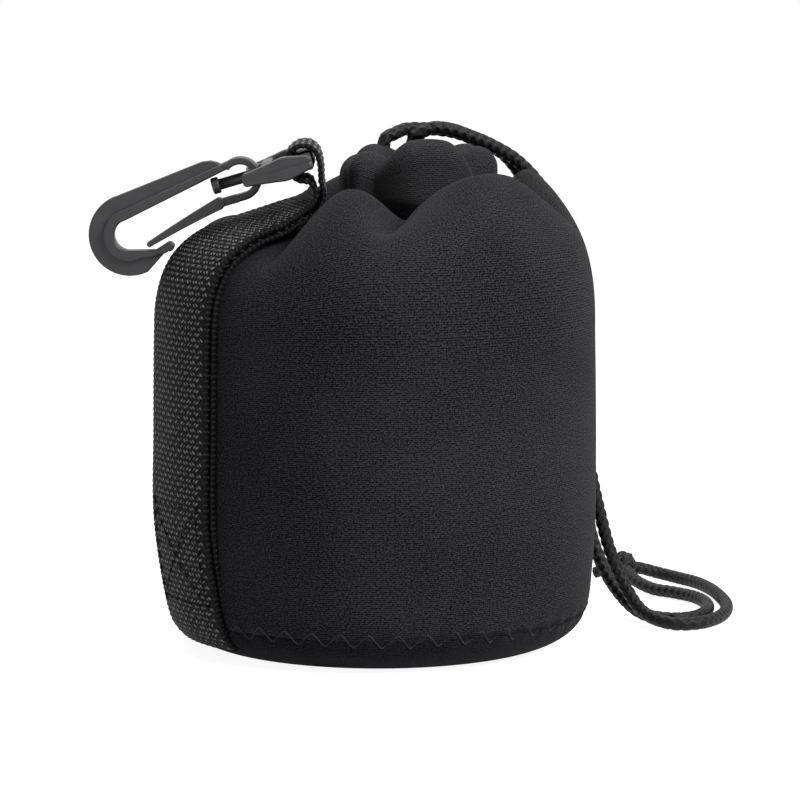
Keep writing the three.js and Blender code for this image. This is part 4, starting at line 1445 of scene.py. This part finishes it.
@dataclass
class BeltStrap:
    """One length of webbing, up the sleeve, round the loop's bar and down again over itself."""

    form: PouchForm
    swivel: SwivelFrame
    finish: Material
    stitches: ThreadTree
    width: float = 20.0
    thickness: float = 1.1
    layer_gap: float = 0.3
    foot: float = 3.0
    foot_sink: float = 1.9
    sink_height: float = 19.0
    fold_radius: float = 3.1
    leaves_radius: float = 27.0
    wall_steps: int = 3
    shoulder_steps: int = 11
    samples: int = 2400
    nudge: float = 1e-4
    row_pitch: float = 1.0
    row_fullness: float = 0.8
    yarn_width: float = 2.1
    yarn_fullness: float = 0.7
    yarn_stagger: float = 0.5
    yarn_floor: float = 0.2
    selvedge: Pair = (1.0, 0.4)
    selvedge_level: float = 0.56
    weave_depth: float = 0.26
    per_row: int = 4
    across: int = 38
    thread: float = 0.36
    box_inset: float = 2.2
    box_low: float = 12.0
    box_high: float = 29.5
    box_samples: int = 60
    stitch_pitch: float = 2.5
    stitch_length: float = 1.8
    stitch_lift: float = 0.04
    fold_stations: tuple[tuple[float, float, float, float], ...] = (
        (2.3, -2.98, 0.95, 0.3), (1.0, -2.96, 0.4, 0.6), (0.05, -2.68, 0.08, 0.82), (-0.55, -2.05, 0.0, 0.94),
        (-0.66, -1.35, 0.0, 1.0), (-0.86, -0.5, 0.0, 1.0), (-0.88, 0.3, 0.0, 1.0), (-0.6, 0.76, 0.0, 1.0),
        (0.0, 0.96, 0.0, 1.0), (0.66, 0.72, 0.0, 1.0), (0.95, 0.0, 0.0, 1.0), (0.6, -0.85, 0.02, 1.0),
        (0.0, -1.2, 0.05, 0.97), (-0.12, -1.72, 0.1, 0.92), (0.35, -2.2, 0.2, 0.78), (1.5, -2.4, 0.55, 0.48),
    )

    def layer(self, offset: float) -> Points:
        """One layer on the sleeve.

        Args:
            offset: how far its middle lies outside the sleeve.

        Returns:
            Its middle points, from the foot up to where the webbing leaves the sleeve.
        """
        form = self.form
        heights = np.array([self.foot, (self.foot + form.seam_height) / 2])
        edge = np.column_stack([form.edge_radius(heights), heights])
        wall = form.wall_profile(self.wall_steps, form.sewn_gap)[:-1]
        bare = np.vstack([edge, wall, form.shoulder_profile(form.strap_angle, self.shoulder_steps)])
        sunk = self.foot_sink * (1.0 - smoothstep(bare[:, 1], self.foot, self.sink_height))
        profile = bare + (form.offset(bare, 1.0) - bare) * (offset - sunk)[:, None]
        lying = profile[profile[:, 0] > self.leaves_radius]
        drawn_radius = np.where(lying[:, 1] < form.shoulder_start, form.wall_radius, lying[:, 0])
        middle = form.drawn(form.strap_angle, lying, drawn_radius)
        middle[:, 1] = 0.0
        return middle

    def stations(self) -> tuple[Points, Points]:
        """The webbing's middle line.

        Returns:
            Its points, and for each how far it is turned to the bar and whether it lies on the sleeve. A
            count in the last column keeps these states apart.
        """
        inner = self.form.sewn_gap + self.thickness / 2
        up, down = self.layer(inner), self.layer(inner + self.thickness + self.layer_gap)
        fold = np.array(self.fold_stations)
        places = self.swivel.place(fold[:, :3] * self.fold_radius)
        turned = np.concatenate([np.zeros(len(up)), fold[:, 3], np.zeros(len(down))])
        lies = np.concatenate([np.ones(len(up)), np.zeros(len(fold)), np.ones(len(down))])
        states = np.column_stack([turned, lies, np.arange(len(lies))])
        return np.vstack([up, places, down[::-1]]), states

    def sections(self) -> Woven:
        """Evenly spaced sections of the webbing.

        Returns:
            Points through the middle of the webbing for each section and place across, the way that the
            webbing faces there, the places across, and the length along.
        """
        middle, states = self.stations()
        dense = np.linspace(0.0, 1.0, self.samples)
        lengths = lengths_along(np.array([catmull_rom(middle, t) for t in dense]))
        count = int(lengths[-1] / self.row_pitch * self.per_row)
        along = np.linspace(0.0, lengths[-1], count + 1)
        bar_heading = math.radians(self.swivel.heading) + math.pi / 2
        side = np.linspace(-self.width / 2, self.width / 2, self.across)
        surface, faces_out = [], []
        for t in np.interp(along, lengths, dense):
            point = catmull_rom(middle, t)
            before, after = max(t - self.nudge, 0.0), min(t + self.nudge, 1.0)
            step = catmull_rom(middle, after) - catmull_rom(middle, before)
            step /= np.linalg.norm(step)
            turned, lies, _ = catmull_rom(states, t)
            facing = mix(-math.pi / 2, bar_heading - ROUND, min(max(turned, 0.0), 1.0))
            across = np.array([math.cos(facing), math.sin(facing), 0.0])
            out = np.cross(across, step)
            out /= np.linalg.norm(out)
            bend = max(abs(point[0]), self.width)
            standing = 1.0 if point[2] < self.form.shoulder_start else step[2] ** 2
            place = point + side[:, None] * across
            place[:, 0] += min(max(lies, 0.0), 1.0) * standing * (bend - np.sqrt(bend**2 - side**2))
            surface.append(place)
            faces_out.append(np.broadcast_to(out, place.shape))
        return np.array(surface), np.array(faces_out), side, along

    def weave(self, side: Values, along: Values) -> Values:
        """Height of the woven face.

        Args:
            side: places across the webbing.
            along: lengths along it.

        Returns:
            0 in the grooves to 1 on a float yarn.
        """
        row = along / self.row_pitch
        index = np.floor(row)
        lift = np.sin(math.pi * (row - index)) ** self.row_fullness
        cell = (side + self.width / 2) / self.yarn_width + self.yarn_stagger * (index % 2)
        bar = np.sin(math.pi * (cell - np.floor(cell))) ** self.yarn_fullness
        edge = smoothstep(np.abs(side), *(self.width / 2 - np.array(self.selvedge)))
        return lift * mix(mix(self.yarn_floor, 1.0, bar), self.selvedge_level, edge)

    def webbing(self, woven: Woven) -> None:
        """Makes the webbing, with its weave in both faces.

        Args:
            woven: its sections.
        """
        surface, out, side, along = woven
        height = self.weave(side[None, :], along[:, None] + np.zeros((1, len(side))))
        half = (self.thickness / 2 - self.weave_depth * (1.0 - height))[..., None]
        ring = np.concatenate([surface + out * half, (surface - out * half)[:, ::-1]], axis=1)
        rows, columns = ring.shape[:2]
        relief = np.concatenate([height, height[:, ::-1]], axis=1).ravel()
        faces = sheet_faces(rows, columns)
        for start, flip in ((0, True), ((rows - 1) * columns, False)):
            for j in range(len(side) - 1):
                a, b, c, d = (start + k for k in (j, j + 1, columns - 2 - j, columns - 1 - j))
                faces.append((a, d, c, b) if flip else (a, b, c, d))
        flat = np.concatenate([side, side[::-1] + 2 * self.width, side[:1]])
        cloth = np.vstack([grid_cloth(flat, along), np.zeros((8 * (len(side) - 1), 2))])
        piece = make_piece("strap_webbing", ring.reshape(-1, 3), faces, self.finish, cloth, relief)
        settle(piece, Body.POUCH, Slot.WEBBING, "strap_inner_layer", "strap_top_fold", "strap_outer_layer")

    def box_stitch(self, woven: Woven) -> None:
        """Sews the box with a cross through both layers at the strap's foot.

        Args:
            woven: the webbing's sections.
        """
        surface, out, side, along = woven
        reach, low, high = self.width / 2 - self.box_inset, self.box_low, self.box_high
        corners = [(-reach, low), (reach, low), (reach, high), (-reach, high)]
        paths = []
        for first, last in ((0, 1), (1, 2), (2, 3), (3, 0), (0, 2), (1, 3)):
            (s0, h0), (s1, h1) = corners[first], corners[last]
            path = []
            for t in np.linspace(0.0, 1.0, self.box_samples):
                row = (along[-1] - (mix(h0, h1, t) - self.foot)) / along[-1] * (len(along) - 1)
                column = (mix(s0, s1, t) - side[0]) / (side[-1] - side[0]) * (len(side) - 1)
                i, j = int(round(row)), int(round(column))
                path.append(surface[i, j] - out[i, j] * (self.thickness / 2 + self.stitch_lift))
            paths.append(np.array(path))
        sizes = {"Pitch": self.stitch_pitch, "Length": self.stitch_length, "Thickness": self.thread}
        piece = self.stitches.sew("strap_box_stitch", paths, False, **sizes)
        settle(piece, Body.POUCH, Slot.WEBBING)

    def build(self) -> None:
        """Makes the strap and its stitching."""
        woven = self.sections()
        self.webbing(woven)
        self.box_stitch(woven)


def arc(centre: Pair, radius: float, start: float, end: float, steps: int = 40) -> Points:
    """Points on an arc in a plane, from one angle in degrees to another."""
    turn = np.radians(np.linspace(start, end, steps + 1))
    return np.column_stack([centre[0] + radius * np.cos(turn), centre[1] + radius * np.sin(turn)])


def fine_outline(corners: Points, step: float) -> Points:
    """A closed outline with points at an even step, and none twice.

    Args:
        corners: the outline's corners.
        step: the most that two points lie apart, nearly.

    Returns:
        The points.
    """
    points = []
    for a, b in zip(corners, np.roll(corners, -1, axis=0)):
        span = np.linalg.norm(b - a)
        count = max(1, int(span / step))
        points += [mix(a, b, k / count) for k in range(count)] if span > TINY else []
    return np.array(points)


def inset_outline(outline: Points, distance: float) -> Points:
    """Moves a closed outline inwards.

    Args:
        outline: the points, anticlockwise.
        distance: how far.

    Returns:
        The moved points.
    """
    along = np.roll(outline, -1, axis=0) - np.roll(outline, 1, axis=0)
    along /= np.maximum(np.linalg.norm(along, axis=1), TINY)[:, None]
    return outline + distance * np.column_stack([-along[:, 1], along[:, 0]])


def rounded_box(half_x: float, half_y: float, edge: float, rounds: int = 4, notch: float = 0.0) -> Points:
    """A rectangle with rounded corners about its middle.

    Args:
        half_x: half of its first side.
        half_y: half of its second side.
        edge: the corners' radius.
        rounds: steps in each corner.
        notch: depth of a fine notch down one side, where there is one.

    Returns:
        The points, anticlockwise.
    """
    points = []
    for sx, sy, start in ((1, 1, 0), (-1, 1, 90), (-1, -1, 180), (1, -1, 270)):
        points.append(arc((sx * (half_x - edge), sy * (half_y - edge)), edge, start, start + 90, rounds))
    if notch > 0.0:
        points.append(np.array([[half_x, -notch], [half_x - notch, 0.0], [half_x, notch]]))
    return np.vstack(points)


@dataclass
class Moulding:
    """Collects closed rounded solids of one moulded piece, in the swivel's own frame."""

    swivel: SwivelFrame
    finish: Material
    outline_step: float = 0.35
    rounds: int = 4
    points: list[Points] = field(default_factory=list)
    faces: Faces = field(default_factory=list)
    flat: list[bool] = field(default_factory=list)
    count: int = 0

    def take(self, points: Points, faces: Faces, flat_faces: int) -> None:
        """Adds one solid.

        Args:
            points: its vertices.
            faces: its faces, the smooth ones first.
            flat_faces: how many at the end are flat.
        """
        self.points.append(points)
        self.faces += [tuple(i + self.count for i in face) for face in faces]
        self.flat += [False] * (len(faces) - flat_faces) + [True] * flat_faces
        self.count += len(points)

    def slab(self, corners: Points, half: float, edge: float) -> None:
        """Adds a flat outline with rounded edges, lying along and above, with its thickness aside.

        Args:
            corners: the closed outline, along and above.
            half: half of the thickness.
            edge: radius of its edges.
        """
        outline = fine_outline(corners, self.outline_step)
        following = np.roll(outline, -1, axis=0)
        area = (outline[:, 0] * following[:, 1] - following[:, 0] * outline[:, 1]).sum()
        if area < 0:
            outline = outline[::-1]
        turns = np.linspace(0.0, math.pi / 2, self.rounds + 1)
        levels = [(edge * (1 - math.cos(t)), half - edge + edge * math.sin(t)) for t in turns]
        rings = []
        for inset, height in [(inset, -height) for inset, height in reversed(levels)] + levels:
            ring = inset_outline(outline, inset)
            rings.append(np.column_stack([ring, np.full(len(ring), height)]))
        size, top = len(outline), rings[-1][:, :2]
        faces = sheet_faces(len(rings), size)
        last = (len(rings) - 1) * size
        caps = []
        for a, b, c in tessellate_polygon([[Vector((x, y, 0.0)) for x, y in top]]):
            up = (a, b, c) if np.cross(top[b] - top[a], top[c] - top[a]) > 0 else (a, c, b)
            caps += [tuple(last + i for i in up), (up[0], up[2], up[1])]
        self.take(np.vstack(rings), [face[::-1] for face in faces + caps], len(caps))

    def loft(self, sections: Sequence[Points]) -> None:
        """Adds a solid through closed sections of equal count, with flat ends.

        Args:
            sections: the sections in order.
        """
        size, last = len(sections[0]), (len(sections) - 1) * len(sections[0])
        caps = [tuple(range(size))[::-1], tuple(range(last, last + size))]
        faces = sheet_faces(len(sections), size) + caps
        points = np.vstack(sections)
        middle = points.mean(axis=0)
        outward = 0.0
        for face in faces:
            corners = points[list(face)]
            normal = np.cross(corners[1] - corners[0], corners[2] - corners[1])
            outward += float(normal @ (corners.mean(axis=0) - middle))
        self.take(points, faces if outward < 0 else [f[::-1] for f in faces], len(caps))

    def piece(self, name: str) -> Piece:
        """Makes the mesh piece in the part's frame.

        Args:
            name: the piece's name.

        Returns:
            The finished piece.
        """
        piece = make_piece(name, self.swivel.place(np.vstack(self.points)), self.faces, self.finish)
        piece.data.polygons.foreach_set("use_smooth", [not f for f in self.flat])
        return piece


@dataclass
class SnapHook:
    """The moulded loop, hook and gate, measured from the loop's bar and the hook from its bow's middle."""

    swivel: SwivelFrame
    finish: Material
    bow_centre: float = 11.95
    bow_radius: float = 3.9
    bow_inside: float = 2.6
    bow_half: float = 2.5
    bow_edge: float = 0.4
    bow_turn: Pair = (52.0, 270.0)
    bow_lip: float = 2.1
    end_middle: Pair = (22.0, -4.1)
    end_turn: Pair = (90.0, -100.0)
    throat_radius: float = 2.75
    throat_turn: Pair = (-75.0, 90.0)
    rib_radius: float = 4.7
    rib_half: float = 2.2
    rib_edge: float = 0.42
    rib_root: float = 1.2
    rib_overlap: float = 0.2
    nose_tip: Pair = (15.7, -8.1)
    nose_radius: float = 0.85
    nose_turn: Pair = (300.0, 90.0)
    under_rib: Pair = (0.0, -1.0)
    under_nose: Pair = (1.0, -0.9)
    over_rib: tuple[Pair, Pair] = ((-0.6, 0.1), (0.3, 0.35))
    flange_radius: float = 7.4
    flange_half: float = 1.1
    flange_edge: float = 0.3
    flange_start: tuple[Pair, ...] = ((2.4, 3.2), (3.0, 3.9), (4.2, 4.6), (5.8, 4.85))
    flange_taper: tuple[Pair, Pair] = ((1.3, -0.95), (1.3, -0.5))
    flange_close: Pair = (2.6, 2.6)
    neck_start: float = 1.6
    neck_radius: float = 0.75
    neck_half: float = 1.3
    neck_edge: float = 0.15
    gate_root: Pair = (5.0, -3.25)
    gate_tip: Pair = (19.0, -6.7)
    gate_half: float = 1.8
    gate_edge: float = 0.22
    gate_bend: float = 0.25
    gate_levels: Pair = (1.1, 0.5)
    gate_taper: float = 0.9
    gate_points: int = 30
    slot_half: float = 10.6
    arm_width: float = 2.8
    arm_edge: float = 0.42
    arm_notch: float = 0.09
    arm_samples: int = 60
    arm_rounding: float = 0.6
    arm_shrink: float = 0.3
    arm_overlap: float = 0.6
    arm_profile: tuple[Pair, ...] = (
        (-1.7, 1.12), (0.5, 1.62), (3.2, 2.12), (5.6, 1.8), (7.7, 1.5), (9.4, 1.3), (11.1, 1.12),
    )
    bar_half: float = 1.5
    bar_edge: float = 0.5
    bar_inset: float = 0.05
    loop_start: float = -1.7
    slot_end: float = 5.6
    loop_end: float = 7.7
    ear_end: float = 11.1
    end_wall_half: float = 1.55
    end_wall_edge: float = 0.4
    corner_reaches: tuple[Pair, ...] = ((5.6, 0.4), (6.6, 1.9), (8.0, 2.9))
    corner_full: float = 3.3
    corner_half: float = 1.15
    corner_edge: float = 0.3
    stem_foot: tuple[Pair, ...] = ((0.2, 1.2), (0.32, 1.0))
    stem_root: Pair = (1.0, 1.3)
    stem_radius: float = 1.0
    stem_overlap: float = 0.1
    head_radius: float = 1.5
    head_length: float = 1.4
    head_edge: float = 0.25
    head_round: float = 0.3
    pin_sides: int = 40

    def rib_outline(self) -> Points:
        """The raised rib.

        Returns:
            Its outline from the bow over the round end, to the nose and back.
        """
        end, nose = self.end_middle, np.array(self.nose_tip)
        middle = np.array([(nose[0] + end[0]) / 2, nose[1]])
        return np.vstack(
            [
                [[self.rib_root, self.bow_radius - self.rib_overlap]],
                arc(end, self.rib_radius, *self.end_turn),
                [middle + self.under_rib, nose + self.under_nose],
                arc(self.nose_tip, self.nose_radius, *self.nose_turn, 16),
                middle + np.array(self.over_rib),
                arc(end, self.throat_radius, *self.throat_turn),
                [[self.rib_root, self.bow_inside - self.rib_overlap]],
            ]
        )

    def flange_outline(self) -> Points:
        """The thinner flange outside the rib.

        Returns:
            Its outline from a raised start beside the bow to a taper below the nose, and back inside the rib.
        """
        return np.vstack(
            [
                self.flange_start,
                arc(self.end_middle, self.flange_radius, *self.end_turn),
                np.array(self.nose_tip) + np.array(self.flange_taper),
                arc(self.end_middle, (self.rib_radius + self.throat_radius) / 2, -90, 90),
                [self.flange_close],
            ]
        )

    def bow_outline(self) -> Points:
        """The open ring round the stem.

        Returns:
            Its outline.
        """
        outer = arc((0.0, 0.0), self.bow_radius, *self.bow_turn)
        lip = [[self.bow_lip, -self.bow_radius], [self.bow_lip, -self.bow_inside]]
        return np.vstack([outer, lip, arc((0.0, 0.0), self.bow_inside, *self.bow_turn[::-1])])

    def gate_outline(self) -> Points:
        """The springy tongue, thick at its root and thin at its tip.

        Returns:
            Its outline.
        """
        root, tip = np.array(self.gate_root), np.array(self.gate_tip)
        t = np.linspace(0.0, 1.0, self.gate_points)[:, None]
        bend = (root + tip) / 2 + np.array([0.0, self.gate_bend])
        line = (1 - t) ** 2 * root + 2 * t * (1 - t) * bend + t**2 * tip
        thick, thin = self.gate_levels
        level = np.column_stack([np.zeros(len(t)), mix(thick, thin, t[:, 0] ** self.gate_taper)])
        point, heel = arc(self.gate_tip, thin, 80, -80, 8), arc(self.gate_root, thick, 270, 90, 12)[1:-1]
        return np.vstack([line + level, point, (line - level)[::-1], heel])

    def hook(self) -> None:
        """Makes the hook: rib, flange, bow and the gate's neck."""
        start, radius, level = self.neck_start, self.neck_radius, self.gate_root[1]
        end = arc(self.gate_root, radius, -90, 90, 16)
        neck = np.vstack([[[start, level + radius], [start, level - radius]], end])
        body = Moulding(self.swivel, self.finish)
        for outline, half, edge in (
            (self.rib_outline(), self.rib_half, self.rib_edge),
            (self.flange_outline(), self.flange_half, self.flange_edge),
            (self.bow_outline(), self.bow_half, self.bow_edge),
            (neck, self.neck_half, self.neck_edge),
        ):
            body.slab(outline + np.array([self.bow_centre, 0.0]), half, edge)
        settle(body.piece("snap_hook_moulding"), Body.HOOK, Slot.PLASTIC, "hook_body")

    def gate(self) -> None:
        """Makes the gate."""
        tongue = Moulding(self.swivel, self.finish)
        tongue.slab(self.gate_outline() + np.array([self.bow_centre, 0.0]), self.gate_half, self.gate_edge)
        settle(tongue.piece("snap_hook_gate"), Body.GATE, Slot.PLASTIC, "hook_gate")

    def arms(self, loop: Moulding) -> None:
        """Adds the two side arms, full beside the slot and thin at both ends, with a parting line outside.

        Args:
            loop: the moulding that they are added to.
        """
        middle = self.slot_half + self.arm_width / 2
        profile = np.array(self.arm_profile)
        smooth = [catmull_rom(profile, t) for t in np.linspace(0.0, 1.0, self.arm_samples)]
        for side in SIDES:
            sections = []
            for along, half in smooth:
                to_end = min(along - self.loop_start, self.ear_end - along)
                shrink = 1.0 - self.arm_shrink * (1.0 - min(to_end / self.arm_rounding, 1.0)) ** 2
                width, edge = self.arm_width / 2 * shrink, self.arm_edge * shrink
                box = rounded_box(width, half * shrink, edge, notch=self.arm_notch)
                across = side * (middle + box[:, 0])
                sections.append(np.column_stack([np.full(len(box), along), box[:, 1], across]))
            loop.loft(sections)

    @staticmethod
    def crossing(loop: Moulding, half: float, edge: float, stations: Sequence[Triple]) -> None:
        """Adds a member that runs aside.

        Args:
            loop: the moulding that it is added to.
            half: half of its thickness.
            edge: radius of its edges.
            stations: where it starts and ends along the hook, and how far aside, for each section.
        """
        sections = []
        for start, end, aside in stations:
            box = rounded_box((end - start) / 2, half, edge)
            along = (start + end) / 2 + box[:, 0]
            sections.append(np.column_stack([along, box[:, 1], np.full(len(box), aside)]))
        loop.loft(sections)

    def pin(self, loop: Moulding, profile: Sequence[Pair]) -> None:
        """Adds a round pin along the hook.

        Args:
            loop: the moulding that it is added to.
            profile: place along and radius of each section.
        """
        turn = np.arange(self.pin_sides) / self.pin_sides * ROUND
        circle = np.column_stack([np.zeros_like(turn), np.cos(turn), np.sin(turn)])
        loop.loft([circle * radius + np.array([along, 0.0, 0.0]) for along, radius in profile])

    def loop(self) -> None:
        """Makes the loop with its bar, end wall, corners and headed stem."""
        moulding = Moulding(self.swivel, self.finish)
        self.arms(moulding)
        inside, overlap = self.slot_half + self.arm_overlap, self.arm_overlap
        bar = (self.loop_start + self.bar_inset, self.bar_half)
        self.crossing(moulding, self.bar_half, self.bar_edge, [(*bar, side * inside) for side in SIDES])
        wall = (self.slot_end, self.loop_end)
        self.crossing(moulding, self.end_wall_half, self.end_wall_edge, [(*wall, s * inside) for s in SIDES])
        corners = (*self.corner_reaches, (inside, self.corner_full))
        for side in SIDES:
            start, end = self.loop_end - overlap, self.loop_end
            stations = [(start, end + reach, side * aside) for aside, reach in corners]
            self.crossing(moulding, self.corner_half, self.corner_edge, stations)
        head, edge, radius = self.bow_centre + self.bow_radius, self.head_edge, self.head_radius
        foot = [(self.loop_end + step, wide) for step, wide in self.stem_foot]
        root = (self.slot_end + self.stem_root[0], self.stem_root[1])
        self.pin(moulding, [root, *foot, (head + self.stem_overlap, self.stem_radius)])
        rounding = [(0.0, edge), (edge * self.head_round, edge * self.head_round), (edge, 0.0)]
        near = [(head + step, radius - drop) for step, drop in rounding]
        far = [(head + self.head_length - step, radius - drop) for step, drop in reversed(rounding)]
        self.pin(moulding, near + far)
        settle(moulding.piece("swivel_loop_moulding"), Body.LOOP, Slot.PLASTIC, "swivel_loop")

    def build(self) -> None:
        """Makes the three moulded pieces."""
        self.loop()
        self.hook()
        self.gate()


def save_sizes() -> None:
    """Updates the scene's view layer."""
    bpy.context.view_layer.update()


def main() -> None:
    """Builds the studio, then each sub-assembly in order."""
    logging.basicConfig(level=logging.INFO, format="%(message)s")
    studio = Studio()
    studio.camera()
    form = PouchForm()
    Drawcord(form, CordFinish().material()).build()
    studio.build()
    # The seam thread is coloured lighter than the strap's black thread: a painted highlight on its strokes.
    seam_thread = ThreadFinish("seam_thread", (0.012, 0.012, 0.0125), (0.06, 0.06, 0.062))
    strap_thread = ThreadFinish("strap_thread", (0.001, 0.001, 0.001), (0.006, 0.006, 0.0062))
    seam = ThreadTree("seam_run", seam_thread.material(), stitched=False)
    stitches = ThreadTree("stitch_row", strap_thread.material(), stitched=True)
    wall = KnitFinish("wall_knit", (0.0036, 0.0036, 0.0052), (0.047, 0.047, 0.054))
    hem = KnitFinish("hem_knit", (0.006, 0.006, 0.007), (0.062, 0.062, 0.066))
    # The base's knit is a darker copy of the wall's knit: painted shade low on the pouch by the floor.
    base = KnitFinish("base_knit_painted_shade", (0.0022, 0.0022, 0.0034), (0.027, 0.0275, 0.033))
    PaddedBody(form, wall.material(), hem.material(), base.material(), seam).build()
    swivel = SwivelFrame()
    BeltStrap(form, swivel, WebbingFinish().material(), stitches).build()
    SnapHook(swivel, MouldedFinish().material()).build()
    save_sizes()


if __name__ == "__main__":
    main()
